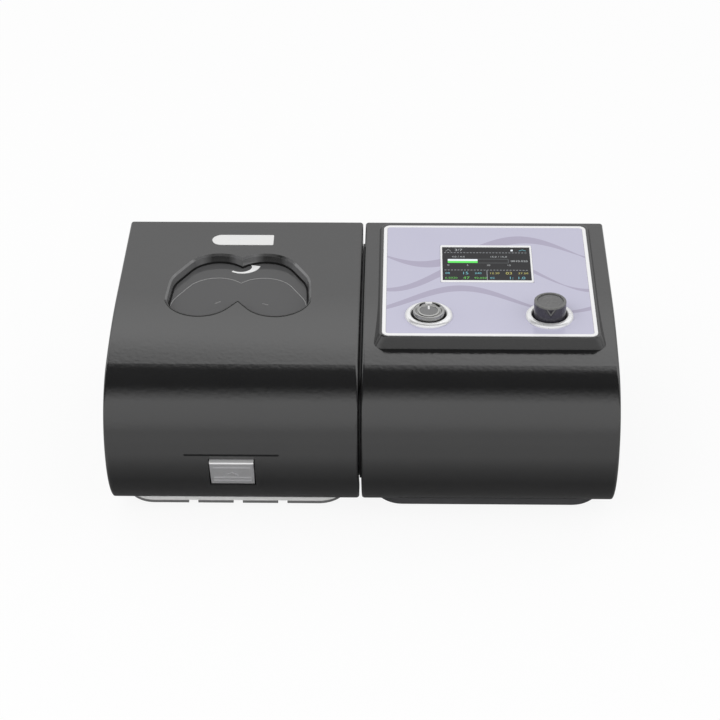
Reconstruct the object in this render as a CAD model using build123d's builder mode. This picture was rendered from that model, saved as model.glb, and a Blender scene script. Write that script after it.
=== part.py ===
from build123d import *
import math
import os

# A bedside CPAP machine: a main unit with the blower, screen, start button and control knob, and a
# heated humidifier that docks against its left side and opens under a hinged cover.
# Millimetres. +Z is up, the front faces -Y, and Z = 0 is the table under the rubber feet.

os.makedirs("parts", exist_ok=True)

# ---------------------------------------------------------------- driving dimensions
# Outer body
humidifier_width = 157.0
main_width = 159.4
seam = 1.6
body_depth = 197.0
body_height = 100.5
wall = 2.5
edge_round = 2.0
# Side outline: a flat roof, then three tangent arcs down the front
shoulder_radius = 280.0
shoulder_turn = 14.0
nose_radius = 43.5
nose_turn = 69.0
chin_radius = 66.0
# Base pans and feet below the body
pan_drop = 8.5
foot_drop = 2.0
foot_radius = 7.5
pan_wall = 2.2
pan_floor = 2.0
pan_recess = 2.5
pan_flange = 2.5
pan_corner = 18.0
pan_side_inset = 8.0
pan_front_inset = 4.5
pan_back_inset = 14.0
notch_width = 6.0
notch_pitch = 28.5
vent_width = 3.0
vent_length = 30.0
vent_pitch = 8.0
vent_columns = 5
# Clearances
fit_gap = 0.3
move_gap = 0.6
shaft_gap = 0.05
glue_gap = 0.1
# Screws
screw_radius = 1.5
screw_head_radius = 3.0
screw_head = 2.0
screw_length = 12.0
panel_screw_length = 8.0
boss_radius = 4.5
boss_sink = 1.0
# Control platform, panel and screen
platform_height = 2.6
platform_root = 6.0
platform_slope = 4.5
platform_front_slope = 1.5
platform_margin = 1.5
platform_back_margin = 3.5
platform_corner = 6.0
platform_skin = 2.4
panel_width = 134.5
panel_length = 137.0
panel_side_inset = 12.5
panel_back_inset = 10.4
panel_corner = 4.5
border_width = 2.4
border_thickness = 1.6
border_proud = 0.5
overlay_thickness = 1.0
screen_width = 57.4
screen_length = 42.4
screen_depth = 5.0
bezel_side = 1.3
bezel_end = 2.15
bezel_thickness = 1.2
screen_offset_y = 18.7
display_margin = 1.0
# Start button and control knob
dial_pitch = 76.0
dial_offset_y = -45.5
ring_radius = 15.1
ring_bore = 11.2
ring_height = 2.2
ring_barrel = 12.5
ring_barrel_depth = 7.0
start_radius = 10.65
start_proud = 1.2
start_travel = 1.2
start_cap_thickness = 1.8
start_skirt = 4.5
start_wall = 1.5
start_stem_radius = 3.0
knob_radius = 10.15
knob_height = 9.6
knob_travel = 1.0
knob_skirt = 1.4
knob_wall = 1.6
encoder_size = 12.0
encoder_height = 7.0
encoder_bush_radius = 5.0
encoder_shaft_radius = 3.0
spring_wire = 0.35
board_thickness = 1.6
board_drop = 16.4
board_inset = 6.0
board_boss_inset = 12.0
chip_size = 14.0
chip_height = 2.5
driver_width = 8.0
driver_length = 20.0
driver_offset = 41.0
main_board_length = 54.0
main_board_gap = 2.0
main_post_inset = 6.0
main_post_back = 22.0
choke_size = 10.0
choke_height = 9.0
switch_size = 6.0
switch_height = 6.0
plunger_radius = 1.75
guide_thickness = 1.2
start_spring_turns = 6
mark_radius = 6.4
mark_line = 1.0
mark_gap = 2.6
mark_tick = 4.0
mark_depth = 0.4
knob_dish = 0.7
knob_rim = 1.8
knob_hub_wall = 2.2
pointer_width = 6.4
pointer_length = 5.0
pointer_depth = 0.9
shaft_flat = 1.5
# Humidifier window
lobe_back_radius = 22.0
lobe_back_offset = 15.0
lobe_back_depth = 66.5
lobe_side_radius = 26.3
lobe_side_offset = 18.5
lobe_side_depth = 81.8
lobe_front_radius = 21.5
lobe_front_offset = 24.3
lobe_front_depth = 98.3
well_depth = 6.0
well_taper = 10.0
well_lip = 1.2
well_wall = 1.8
window_thickness = 2.0
window_lap = 1.2
# Label on the cover
label_depth = 25.9
label_offset = -1.25
label_length = 40.9
label_width = 13.0
label_end_radius = 6.5
label_thickness = 0.3
# Cover hinge
hinge_inset = 9.0
pin_radius = 2.0
knuckle_radius = 4.5
knuckle_width = 5.0
hinge_lug_offset = 64.0
cover_back_drop = 16.3
flange_width = 11.0
chassis_inset = 6.0
rear_wall_drop = 18.0
ear_reach = 15.0
ear_column = 6.0
ear_drop = 30.0
# Docking face between the two units
boss_inset = 15.0
seam_plate_inset = 11.0
seam_plate_foot = 14.0
dock_cut_depth = 20.0
dock_cut_rise = 26.0
dock_wall = 2.4
dock_gap = 0.4
port_depth = 70.0
port_drop = 38.0
spigot_radius = 12.0
spigot_bore = 10.0
spigot_reach = 15.0
seal_wall = 2.7
collar_wall = 2.5
connector_depth = 128.0
connector_drop = 73.0
connector_width = 24.0
connector_height = 12.0
blade_reach = 7.0
blade_width = 4.0
blade_thickness = 0.8
blade_pitch = 7.0
blade_tail = 9.0
# Water tub and heater
tub_wall = 2.2
tub_corner = 14.0
tub_side_gap = 5.0
tub_back_depth = 33.0
tub_front_depth = 150.0
tub_floor = 3.0
tub_lid_drop = 14.0
tub_lid_thickness = 2.5
tub_seal_thickness = 1.6
tub_rim = 3.0
ridge_height = 2.0
ridge_width = 1.6
ridge_radius = 24.5
ridge_offset = 17.3
ridge_depth = 83.8
fill_cap_radius = 9.8
fill_cap_height = 5.4
fill_neck_radius = 7.3
fill_cap_depth = 44.8
heater_length = 84.0
heater_width = 92.0
heater_thickness = 3.5
heater_film = 0.5
heater_lap = 3.0
metal_base = 1.5
# Rear outlet port: a 22 mm male cone seat for the hose
port_radius = 11.0
port_bore = 9.0
port_reach = 20.0
port_offset = -32.0
port_step = 0.8
port_flange = 14.0
port_flange_thickness = 2.5
port_gasket_wall = 2.0
port_gasket_length = 9.0
port_seat = 4.0
# OPEN button on the front of the cover and its latch
button_width = 27.5
button_top = 57.5
button_height = 22.5
button_proud = 3.6
button_foot_depth = 191.0
button_thickness = 9.0
button_gap = 0.6
rib_height = 0.9
rib_proud = 0.5
rib_places = (0.27, -0.2, -0.35)
chevron_width = 8.0
chevron_rise = 3.6
chevron_line = 1.3
slide_width = 12.0
slide_height = 9.0
slide_drop = 69.0
latch_spring_offset = 10.0
latch_spring_radius = 2.2
latch_spring_length = 8.0
latch_spring_turns = 5
latch_wall = 1.6
latch_arm = 4.0
catch_inset = 1.1
hook_thickness = 3.0
hook_foot = 11.5
catch_gap = 2.2
catch_thickness = 3.0
catch_height = 11.0
crease_length = 59.0
crease_drop = 54.0
crease_width = 1.6
crease_depth = 1.0
# Blower
blower_offset = 4.0
blower_depth = 95.0
blower_radius = 48.0
blower_height = 36.0
blower_wall = 2.2
blower_eye = 16.0
impeller_radius = 38.0
impeller_height = 16.0
blade_count = 11
motor_radius = 22.0
motor_height = 22.0
motor_shaft = 2.5
shaft_socket = 8.0
motor_fins = 10
fin_slot = 1.6
vane_thickness = 1.2
blade_turn = 28.0
mount_radius = 5.0
mount_height = 12.0
mount_reach = 34.0
post_radius = 4.5
# Rear air inlet, power inlet and data card
filter_width = 42.0
filter_height = 32.0
filter_thickness = 6.0
filter_inset = 34.7
filter_drop = 62.0
filter_cover_thickness = 2.0
louvre_count = 5
power_inset = 27.7
power_drop = 80.0
power_size = 14.0
power_length = 18.0
power_bore = 3.2
power_pin = 1.0
power_back = 3.0
muffler_depth = 33.0
muffler_side = 6.0
muffler_foot = 12.0
muffler_head = 22.0
channel_inset = 8.0
channel_depth = 20.0
louvre_width = 2.4
card_width = 24.0
card_length = 32.0
card_thickness = 2.1
card_drop = 78.0
card_wall = 1.4
card_grip = 12.0

# ---------------------------------------------------------------- derived places
total_width = humidifier_width + seam + main_width
left_x = -total_width / 2
right_x = total_width / 2
humidifier_right_x = left_x + humidifier_width
main_left_x = humidifier_right_x + seam
humidifier_x = (left_x + humidifier_right_x) / 2
main_x = (main_left_x + right_x) / 2
# The origin is under the middle of everything, from the button's front to the port's end
front_y = -(body_depth + port_reach - button_proud) / 2
back_y = front_y + body_depth
bottom_z = foot_drop + pan_drop
top_z = bottom_z + body_height

shoulder_heading = math.radians(shoulder_turn)
nose_heading = math.radians(shoulder_turn + nose_turn)
chin_centre_y = front_y + chin_radius
chin_centre_z = (
    top_z
    - shoulder_radius
    + (shoulder_radius - nose_radius) * math.cos(shoulder_heading)
    + (nose_radius - chin_radius) * math.cos(nose_heading)
)
flat_end_y = (
    chin_centre_y
    - (chin_radius - nose_radius) * math.sin(nose_heading)
    + (shoulder_radius - nose_radius) * math.sin(shoulder_heading)
)


def chin_heading(inset, z):
    """Direction of the chin arc, in radians from level, where it passes height z."""
    return math.acos((z - chin_centre_z) / (chin_radius - inset))


def chin_y(inset, z):
    """Y of the body's front at height z on the chin arc, moved inwards by inset."""
    return chin_centre_y - (chin_radius - inset) * math.sin(chin_heading(inset, z))


def body_outline(inset, foot):
    """Side outline of the body, moved inwards by inset and cut off level at height foot."""
    rear = back_y - inset
    roof_z = top_z - inset
    chin_turn = math.degrees(chin_heading(inset, foot) - nose_heading)
    with BuildSketch() as outline:
        with BuildLine():
            roof = Line((rear, roof_z), (flat_end_y, roof_z))
            shoulder = JernArc(roof @ 1, roof % 1, shoulder_radius - inset, shoulder_turn)
            nose = JernArc(shoulder @ 1, shoulder % 1, nose_radius - inset, nose_turn)
            chin = JernArc(nose @ 1, nose % 1, chin_radius - inset, chin_turn)
            Line(chin @ 1, (rear, foot))
            Line((rear, foot), (rear, roof_z))
        make_face()
    return outline.sketch


def block(low, high, mode=Mode.ADD):
    """A box between two corners, in the part that is being built."""
    middle = tuple((high[i] + low[i]) / 2 for i in range(3))
    size = [high[i] - low[i] for i in range(3)]
    with Locations(middle):
        Box(size[0], size[1], size[2], mode=mode)


def chip(x, y, z, width, length, height):
    """A component that stands on a board, in the part that is being built."""
    block((x - width / 2, y - length / 2, z), (x + width / 2, y + length / 2, z + height))


def rod(start, radius, length, axis, mode=Mode.ADD):
    """A round bar that starts at a point and runs along a row axis."""
    turn = {"X": (0, 90, 0), "Y": (-90, 0, 0), "Z": (0, 0, 0)}[axis]
    base = (Align.CENTER, Align.CENTER, Align.MIN)
    with Locations(start):
        Cylinder(radius, length, rotation=turn, align=base, mode=mode)


def coil(radius, wire, height, turns):
    """A compression spring along Z that starts at the origin, as a private solid."""
    with BuildPart(mode=Mode.PRIVATE) as spring:
        with BuildLine():
            path = Helix(pitch=height / turns, height=height, radius=radius)
        with BuildSketch(Plane(origin=path @ 0, z_dir=path % 0)):
            Circle(wire)
        sweep(path=path)
    return spring.part


def save(piece, name):
    """Name a finished piece and write it to its own file."""
    piece.label = name
    export_step(piece, "parts/" + name + ".step")


# ---------------------------------------------------------------- shared outlines
def pan_spans(unit_left, unit_right):
    """X and Y limits of a base pan under one unit."""
    front = chin_y(0, bottom_z) + pan_front_inset
    return (unit_left + pan_side_inset, front), (unit_right - pan_side_inset, back_y - pan_back_inset)


def rounded_plan(low, high, inset, corner):
    """A rounded rectangle in plan between two corners, moved inwards by inset."""
    with BuildSketch() as plan:
        with Locations(((low[0] + high[0]) / 2, (low[1] + high[1]) / 2)):
            RectangleRounded(
                high[0] - low[0] - 2 * inset,
                high[1] - low[1] - 2 * inset,
                max(corner - inset, 0.5),
            )
    return plan.sketch


def foot_places(low, high):
    """Centres of the four feet inside a base pan."""
    reach = pan_wall + foot_radius + pan_corner / 4
    return [
        (x, y)
        for x in (low[0] + reach, high[0] - reach)
        for y in (low[1] + reach, high[1] - reach)
    ]


def screw_places(low, high):
    """Centres of the four screws of a base pan, between its feet."""
    reach = pan_wall + boss_radius - boss_sink
    third = (high[1] - low[1]) / 3
    return [
        (x, y)
        for x in (low[0] + reach, high[0] - reach)
        for y in (low[1] + third, high[1] - third)
    ]


floor_z = foot_drop + pan_recess
pan_inside_z = floor_z + pan_floor
flange_z = bottom_z + fit_gap
deck_z = flange_z + pan_flange
foot_height = floor_z


def feet(places):
    """Four rubber feet seated under a pan's floor."""
    with BuildPart(mode=Mode.PRIVATE) as pads:
        for x, y in places:
            rod((x, y, 0), foot_radius, foot_height, "Z")
        chamfer(pads.edges().group_by(Axis.Z)[0], foot_drop / 3)
    return pads.part


def screws(places, head_z, length):
    """Pan head screws driven upwards, with their heads below head_z."""
    with BuildPart(mode=Mode.PRIVATE) as bolts:
        for x, y in places:
            rod((x, y, head_z - screw_head), screw_head_radius, screw_head, "Z")
            rod((x, y, head_z), screw_radius, length, "Z")
        for x, y in places:
            rod((x, y, head_z - screw_head), screw_radius * 0.8, screw_head / 2, "Z", Mode.SUBTRACT)
    return bolts.part


main_pan_low, main_pan_high = pan_spans(main_left_x, right_x)
tank_pan_low, tank_pan_high = pan_spans(left_x, humidifier_right_x)
main_feet_places = foot_places(main_pan_low, main_pan_high)
tank_feet_places = foot_places(tank_pan_low, tank_pan_high)
main_screw_places = screw_places(main_pan_low, main_pan_high)
tank_screw_places = screw_places(tank_pan_low, tank_pan_high)

# ================================================================ MAIN UNIT
panel_z = top_z + platform_height
panel_low = (main_left_x + panel_side_inset, back_y - panel_back_inset - panel_length)
panel_high = (panel_low[0] + panel_width, back_y - panel_back_inset)
panel_x = (panel_low[0] + panel_high[0]) / 2
panel_y = (panel_low[1] + panel_high[1]) / 2
crown_low = (panel_low[0] - platform_margin, panel_low[1] - platform_margin)
crown_high = (panel_high[0] + platform_margin, panel_high[1] + platform_back_margin)
skirt_low = (crown_low[0] - platform_slope, crown_low[1] - platform_front_slope)
skirt_high = (crown_high[0] + platform_slope, crown_high[1] + platform_slope)
border_top_z = panel_z + border_proud
overlay_top_z = border_top_z - 0.2
overlay_seat_z = overlay_top_z - overlay_thickness
border_seat_z = border_top_z - border_thickness
screen_x = panel_x
screen_y = panel_y + screen_offset_y
start_x = panel_x - dial_pitch / 2
knob_x = panel_x + dial_pitch / 2
dial_y = panel_y + dial_offset_y
ring_top_z = overlay_top_z + ring_height
board_z = top_z - board_drop
board_top_z = board_z + board_thickness
display_width = screen_width + 2 * display_margin
display_length = screen_length + 2 * display_margin
port_y = back_y - port_depth
port_z = top_z - port_drop
connector_y = back_y - connector_depth
connector_z = top_z - connector_drop
filter_x = right_x - filter_inset
filter_z = top_z - filter_drop
power_x = main_left_x + power_inset
power_z = top_z - power_drop
blower_x = main_x + blower_offset
blower_y = back_y - blower_depth
# The data card lies between the blower's front and rear mounts
card_y = blower_y
card_z = top_z - card_drop
inner_left_x = main_left_x + wall
inner_right_x = right_x - wall
main_boss_z = deck_z + fit_gap
board_boss_places = [
    (x, y)
    for x in (panel_low[0] + board_boss_inset, panel_high[0] - board_boss_inset)
    for y in (panel_low[1] + board_boss_inset, panel_high[1] - board_boss_inset)
]

with BuildPart() as main_upper_casing:
    with BuildSketch(Plane.YZ.offset(main_left_x)):
        add(body_outline(0, bottom_z))
    extrude(amount=main_width)
    ends = main_upper_casing.faces().filter_by(Axis.X)
    rim_edges = ends.edges().filter_by(lambda e: e.center().Z > bottom_z + 1)
    roof_edge = main_upper_casing.edges().filter_by(Axis.X).group_by(Axis.Z)[-1].sort_by(Axis.Y)[-1]
    fillet([*rim_edges, roof_edge], edge_round)
    # Raised platform that carries the panel, with sloping sides
    with BuildSketch(Plane.XY.offset(top_z - platform_root)):
        add(rounded_plan(skirt_low, skirt_high, 0, platform_corner))
    with BuildSketch(Plane.XY.offset(panel_z)):
        add(rounded_plan(crown_low, crown_high, 0, platform_corner))
    loft()
    fillet(main_upper_casing.faces().sort_by(Axis.Z)[-1].outer_wire().edges(), 0.8)
    with BuildSketch(Plane.YZ.offset(inner_left_x)):
        add(body_outline(wall, bottom_z - 1))
    extrude(amount=main_width - 2 * wall, mode=Mode.SUBTRACT)
    with BuildSketch(Plane.XY.offset(top_z - platform_root - wall)):
        add(rounded_plan(panel_low, panel_high, border_width, panel_corner))
    extrude(amount=border_seat_z - platform_skin - top_z + platform_root + wall, mode=Mode.SUBTRACT)
    # Seats for the border frame and the overlay
    with BuildSketch(Plane.XY.offset(border_seat_z)):
        add(rounded_plan(panel_low, panel_high, -fit_gap / 2, panel_corner))
        add(
            rounded_plan(panel_low, panel_high, border_width + fit_gap / 2, panel_corner),
            mode=Mode.SUBTRACT,
        )
    extrude(amount=border_thickness, mode=Mode.SUBTRACT)
    with BuildSketch(Plane.XY.offset(overlay_seat_z)):
        add(rounded_plan(panel_low, panel_high, border_width, panel_corner))
    extrude(amount=overlay_thickness + 1, mode=Mode.SUBTRACT)
    # Screen window and the two dial holes
    block(
        (screen_x - display_width / 2 - fit_gap, screen_y - display_length / 2 - fit_gap, top_z - 5),
        (screen_x + display_width / 2 + fit_gap, screen_y + display_length / 2 + fit_gap, panel_z + 1),
        Mode.SUBTRACT,
    )
    for dial_x in (start_x, knob_x):
        rod((dial_x, dial_y, top_z - 5), ring_barrel + fit_gap / 2, platform_height + 6, "Z", Mode.SUBTRACT)
    # Bosses for the panel board and the bottom screws
    for x, y in board_boss_places:
        rod((x, y, board_top_z), boss_radius, border_seat_z - platform_skin - board_top_z, "Z")
        rod((x, y, board_top_z), screw_radius, panel_screw_length, "Z", Mode.SUBTRACT)
    for x, y in main_screw_places:
        side = -1 if x < main_x else 1
        side_x = inner_left_x - wall / 2 if side < 0 else inner_right_x + wall / 2
        rod((x, y, main_boss_z), boss_radius, screw_length, "Z")
        block(
            (min(x, side_x), y - 1.5, main_boss_z),
            (max(x, side_x), y + 1.5, main_boss_z + screw_length),
        )
        rod((x, y, main_boss_z - 1), screw_radius, screw_length, "Z", Mode.SUBTRACT)
    # Docking side: air spigot hole and the heater socket window
    rod((main_left_x - 1, port_y, port_z), spigot_radius + fit_gap, wall + 2, "X", Mode.SUBTRACT)
    block(
        (main_left_x - 1, connector_y - connector_width / 2, connector_z - connector_height / 2),
        (inner_left_x + 1, connector_y + connector_width / 2, connector_z + connector_height / 2),
        Mode.SUBTRACT,
    )
    # Rear: air inlet window, power inlet; right side: data card slot
    block(
        (filter_x - filter_width / 2, back_y - wall - 1, filter_z - filter_height / 2),
        (filter_x + filter_width / 2, back_y + 1, filter_z + filter_height / 2),
        Mode.SUBTRACT,
    )
    block(
        (power_x - power_size / 2, back_y - wall - 1, power_z - power_size / 2),
        (power_x + power_size / 2, back_y + 1, power_z + power_size / 2),
        Mode.SUBTRACT,
    )
    card_half = card_width / 2 + move_gap
    block(
        (inner_right_x - 1, card_y - card_half, card_z - card_thickness / 2 - move_gap),
        (right_x + 1, card_y + card_half, card_z + card_thickness / 2 + move_gap),
        Mode.SUBTRACT,
    )
save(main_upper_casing.part, "main_upper_casing")


def base_pan(low, high, screw_spots, deck_low, deck_high, notch_x):
    """A shallow pan: a rounded skirt, a raised floor and a flange that closes the body."""
    with BuildPart(mode=Mode.PRIVATE) as pan:
        with BuildSketch(Plane.XY.offset(foot_drop)):
            add(rounded_plan(low, high, 0, pan_corner))
        extrude(amount=flange_z - foot_drop)
        chamfer(pan.edges().group_by(Axis.Z)[0], 0.6)
        with BuildSketch(Plane.XY.offset(foot_drop)):
            add(rounded_plan(low, high, pan_wall, pan_corner))
        extrude(amount=pan_recess, mode=Mode.SUBTRACT)
        block((deck_low[0], deck_low[1], flange_z), (deck_high[0], deck_high[1], deck_z))
        with BuildSketch(Plane.XY.offset(pan_inside_z)):
            add(rounded_plan(low, high, pan_wall, pan_corner))
        extrude(amount=deck_z - pan_inside_z + 1, mode=Mode.SUBTRACT)
        for x, y in screw_spots:
            rod((x, y, floor_z), boss_radius, deck_z - floor_z, "Z")
            rod((x, y, floor_z - 1), screw_radius + shaft_gap, deck_z, "Z", Mode.SUBTRACT)
        # Cooling slots through the floor
        middle = ((low[0] + high[0]) / 2, (low[1] + high[1]) / 2)
        with BuildSketch(Plane.XY.offset(floor_z - 1)):
            with Locations(middle):
                with GridLocations(vent_pitch, vent_length * 1.5, vent_columns, 2):
                    SlotOverall(vent_length, vent_width, rotation=90)
        extrude(amount=pan_floor + 2, mode=Mode.SUBTRACT)
        for x in notch_x:
            block(
                (x - notch_width / 2, low[1] - 1, foot_drop - 1),
                (x + notch_width / 2, low[1] + pan_wall + 1, floor_z),
                Mode.SUBTRACT,
            )
    return pan.part


# ---- bottom pan, feet and screws
blower_low_z = port_z - blower_height / 2
mount_low_z = blower_low_z - mount_height
mount_places = [
    (blower_x + side_x * mount_reach, blower_y + side_y * mount_reach)
    for side_x in (-1, 1)
    for side_y in (-1, 1)
]
main_board_z = pan_inside_z + 10
main_board_back_y = back_y - wall - main_board_gap
main_board_low = (inner_left_x + 2 * main_board_gap, main_board_back_y - main_board_length)
main_board_high = (blower_x - mount_reach - mount_radius - main_board_gap, main_board_back_y)
main_post_places = [
    (x, y)
    for x in (main_board_low[0] + 2 * main_post_inset, main_board_high[0] - main_post_inset)
    for y in (main_board_low[1] + main_post_inset, main_board_high[1] - main_post_back)
]
main_deck_low = (inner_left_x + fit_gap, chin_y(wall + fit_gap, flange_z))
main_deck_high = (inner_right_x - fit_gap, back_y - wall - fit_gap)
with BuildPart() as main_bottom_pan:
    add(
        base_pan(
            main_pan_low,
            main_pan_high,
            main_screw_places,
            main_deck_low,
            main_deck_high,
            [],
        )
    )
    for x, y in mount_places:
        rod((x, y, pan_inside_z - 1), post_radius, mount_low_z - pan_inside_z + 1, "Z")
    for x, y in main_post_places:
        rod((x, y, pan_inside_z - 1), post_radius - 1, main_board_z - pan_inside_z + 1, "Z")
save(main_bottom_pan.part, "main_bottom_pan")
save(feet(main_feet_places), "main_feet")
save(screws(main_screw_places, floor_z, screw_length), "main_screws")

# ---- panel: white border, lavender overlay, screen and its white bezel
with BuildPart() as panel_border_frame:
    with BuildSketch(Plane.XY.offset(border_seat_z)):
        add(rounded_plan(panel_low, panel_high, 0, panel_corner))
        add(rounded_plan(panel_low, panel_high, border_width, panel_corner), mode=Mode.SUBTRACT)
    extrude(amount=border_thickness)
    chamfer(panel_border_frame.faces().sort_by(Axis.Z)[-1].edges(), 0.25)
save(panel_border_frame.part, "panel_border_frame")

bezel_width = screen_width + 2 * bezel_side
bezel_length = screen_length + 2 * bezel_end
with BuildPart() as panel_overlay:
    with BuildSketch(Plane.XY.offset(overlay_seat_z)):
        add(rounded_plan(panel_low, panel_high, border_width + glue_gap, panel_corner))
        with Locations((screen_x, screen_y)):
            Rectangle(bezel_width + 2 * glue_gap, bezel_length + 2 * glue_gap, mode=Mode.SUBTRACT)
        with Locations((start_x, dial_y), (knob_x, dial_y)):
            Circle(ring_barrel + glue_gap, mode=Mode.SUBTRACT)
    extrude(amount=overlay_thickness)
save(panel_overlay.part, "panel_overlay")

bezel_top_z = overlay_top_z + border_proud
bezel_low_z = bezel_top_z - bezel_thickness
with BuildPart() as display_bezel:
    with BuildSketch(Plane.XY.offset(bezel_low_z)):
        with Locations((screen_x, screen_y)):
            RectangleRounded(bezel_width, bezel_length, bezel_side)
            Rectangle(screen_width, screen_length, mode=Mode.SUBTRACT)
    extrude(amount=bezel_thickness)
    chamfer(display_bezel.faces().sort_by(Axis.Z)[-1].edges(), 0.25)
save(display_bezel.part, "display_bezel")

screen_top_z = bezel_top_z - 0.4
with BuildPart() as display_module:
    block(
        (screen_x - display_width / 2, screen_y - display_length / 2, bezel_low_z - screen_depth),
        (screen_x + display_width / 2, screen_y + display_length / 2, bezel_low_z),
    )
    glass_half_w = screen_width / 2 - glue_gap
    glass_half_l = screen_length / 2 - glue_gap
    block(
        (screen_x - glass_half_w, screen_y - glass_half_l, bezel_low_z - glue_gap),
        (screen_x + glass_half_w, screen_y + glass_half_l, screen_top_z),
    )
save(display_module.part, "display_module")

board_low = (panel_low[0] + board_inset, panel_low[1] + board_inset)
board_high = (panel_high[0] - board_inset, panel_high[1] - board_inset)
chip_low_z = board_top_z - 2 * fit_gap
with BuildPart() as panel_board:
    block((board_low[0], board_low[1], board_z), (board_high[0], board_high[1], board_top_z - fit_gap))
    for x, y in board_boss_places:
        rod((x, y, board_z - 1), screw_radius + shaft_gap, board_thickness + 2, "Z", Mode.SUBTRACT)
    chip(screen_x, dial_y, chip_low_z, chip_size, chip_size, chip_height)
    for side in (-1, 1):
        driver_x = screen_x + side * driver_offset
        chip(driver_x, screen_y, chip_low_z, driver_width, driver_length, chip_height)
save(panel_board.part, "panel_board")
save(screws(board_boss_places, board_z, panel_screw_length), "panel_screws")


# ---- start button: ring, cap, plunger, spring and switch
def dial_ring(x):
    """A bevelled ring on the overlay with a barrel through the panel."""
    with BuildPart(mode=Mode.PRIVATE) as ring:
        with BuildSketch(Plane.XZ):
            with BuildLine():
                inner_top = (ring_bore + 0.6, ring_height)
                outer_top = (ring_radius - 1.9, ring_height)
                Line((ring_bore, ring_height - 0.6), inner_top)
                Line(inner_top, outer_top)
                ThreePointArc(outer_top, (ring_radius - 0.55, ring_height - 0.7), (ring_radius, 0.4))
                Line((ring_radius, 0.4), (ring_radius, 0))
                Line((ring_radius, 0), (ring_barrel, 0))
                Line((ring_barrel, 0), (ring_barrel, -ring_barrel_depth))
                Line((ring_barrel, -ring_barrel_depth), (ring_bore, -ring_barrel_depth))
                Line((ring_bore, -ring_barrel_depth), (ring_bore, ring_height - 0.6))
            make_face()
        revolve(axis=Axis.Z)
    return ring.part.moved(Location((x, dial_y, overlay_top_z)))


barrel_low_z = overlay_top_z - ring_barrel_depth
save(dial_ring(start_x), "start_button_ring")
save(dial_ring(knob_x), "knob_ring")

switch_top_z = board_top_z + switch_height
start_top_z = ring_top_z + start_proud
cap_under_z = start_top_z - start_cap_thickness
plunger_low_z = board_top_z + 1 + start_travel + fit_gap
skirt_low_z = cap_under_z - start_skirt
with BuildPart() as start_button_cap:
    rod((start_x, dial_y, cap_under_z), start_radius, start_cap_thickness, "Z")
    fillet(start_button_cap.faces().sort_by(Axis.Z)[-1].edges(), 0.6)
    rod((start_x, dial_y, skirt_low_z), start_radius, start_skirt, "Z")
    rod((start_x, dial_y, skirt_low_z), start_radius - start_wall, start_skirt, "Z", Mode.SUBTRACT)
    # Standby mark: a groove round the middle and a tick
    with BuildSketch(Plane.XY.offset(start_top_z - mark_depth)):
        with Locations((start_x, dial_y)):
            Circle(mark_radius)
            Circle(mark_radius - mark_line, mode=Mode.SUBTRACT)
        with Locations((start_x, dial_y + mark_radius - mark_line)):
            Rectangle(mark_gap, 4 * mark_line, mode=Mode.SUBTRACT)
        with Locations((start_x, dial_y + mark_radius - mark_tick / 2)):
            Rectangle(mark_line, mark_tick)
    extrude(amount=2 * mark_depth, mode=Mode.SUBTRACT)
    rod((start_x, dial_y, switch_top_z), start_stem_radius, cap_under_z - switch_top_z, "Z")
save(start_button_cap.part, "start_button_cap")

with BuildPart() as start_switch_plunger:
    rod((start_x, dial_y, plunger_low_z), plunger_radius, switch_top_z - plunger_low_z, "Z")
save(start_switch_plunger.part, "start_switch_plunger")
with BuildPart() as start_switch_body:
    switch_half = switch_size / 2
    block(
        (start_x - switch_half, dial_y - switch_half, board_top_z - fit_gap),
        (start_x + switch_half, dial_y + switch_half, switch_top_z - start_travel - fit_gap),
    )
    plunger_bore = plunger_radius + shaft_gap
    rod((start_x, dial_y, board_top_z + 1), plunger_bore, switch_height, "Z", Mode.SUBTRACT)
save(start_switch_body.part, "start_switch_body")

spring_seat_z = barrel_low_z
spring_radius = (start_stem_radius + start_radius - start_wall) / 2 - spring_wire
with BuildPart() as start_button_guide:
    guide_low_z = spring_seat_z - guide_thickness
    stem_bore = start_stem_radius + move_gap / 2
    rod((start_x, dial_y, guide_low_z), ring_barrel, guide_thickness, "Z")
    rod((start_x, dial_y, guide_low_z), stem_bore, guide_thickness, "Z", Mode.SUBTRACT)
save(start_button_guide.part, "start_button_guide")
spring_height = cap_under_z - spring_seat_z - 2 * spring_wire
with BuildPart() as start_button_spring:
    spring = coil(spring_radius, spring_wire, spring_height, start_spring_turns)
    add(spring.moved(Location((start_x, dial_y, spring_seat_z + spring_wire))))
save(start_button_spring.part, "start_button_spring")

# ---- control knob: encoder with a push switch, its shaft and the knob
encoder_top_z = board_top_z + encoder_height
bush_top_z = barrel_low_z + 1
bush_bore = encoder_shaft_radius + 0.9
sleeve_low_z = board_top_z + 1
with BuildPart() as encoder_body:
    block(
        (knob_x - encoder_size / 2, dial_y - encoder_size / 2, board_top_z - fit_gap),
        (knob_x + encoder_size / 2, dial_y + encoder_size / 2, encoder_top_z - 1),
    )
    rod((knob_x, dial_y, encoder_top_z - 1.5), encoder_bush_radius, bush_top_z - encoder_top_z + 1.5, "Z")
    rod((knob_x, dial_y, sleeve_low_z), bush_bore + shaft_gap, bush_top_z, "Z", Mode.SUBTRACT)
save(encoder_body.part, "encoder_body")
with BuildPart() as encoder_plunger:
    sleeve_rest_z = sleeve_low_z + knob_travel + fit_gap
    rod((knob_x, dial_y, sleeve_rest_z), bush_bore, bush_top_z - knob_travel - sleeve_rest_z, "Z")
    shaft_bore = encoder_shaft_radius + shaft_gap
    rod((knob_x, dial_y, sleeve_rest_z + 1), shaft_bore, bush_top_z, "Z", Mode.SUBTRACT)
save(encoder_plunger.part, "encoder_plunger")
knob_low_z = ring_top_z - knob_skirt
knob_top_z = ring_top_z + knob_height
shaft_top_z = knob_top_z - 3.5
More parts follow.
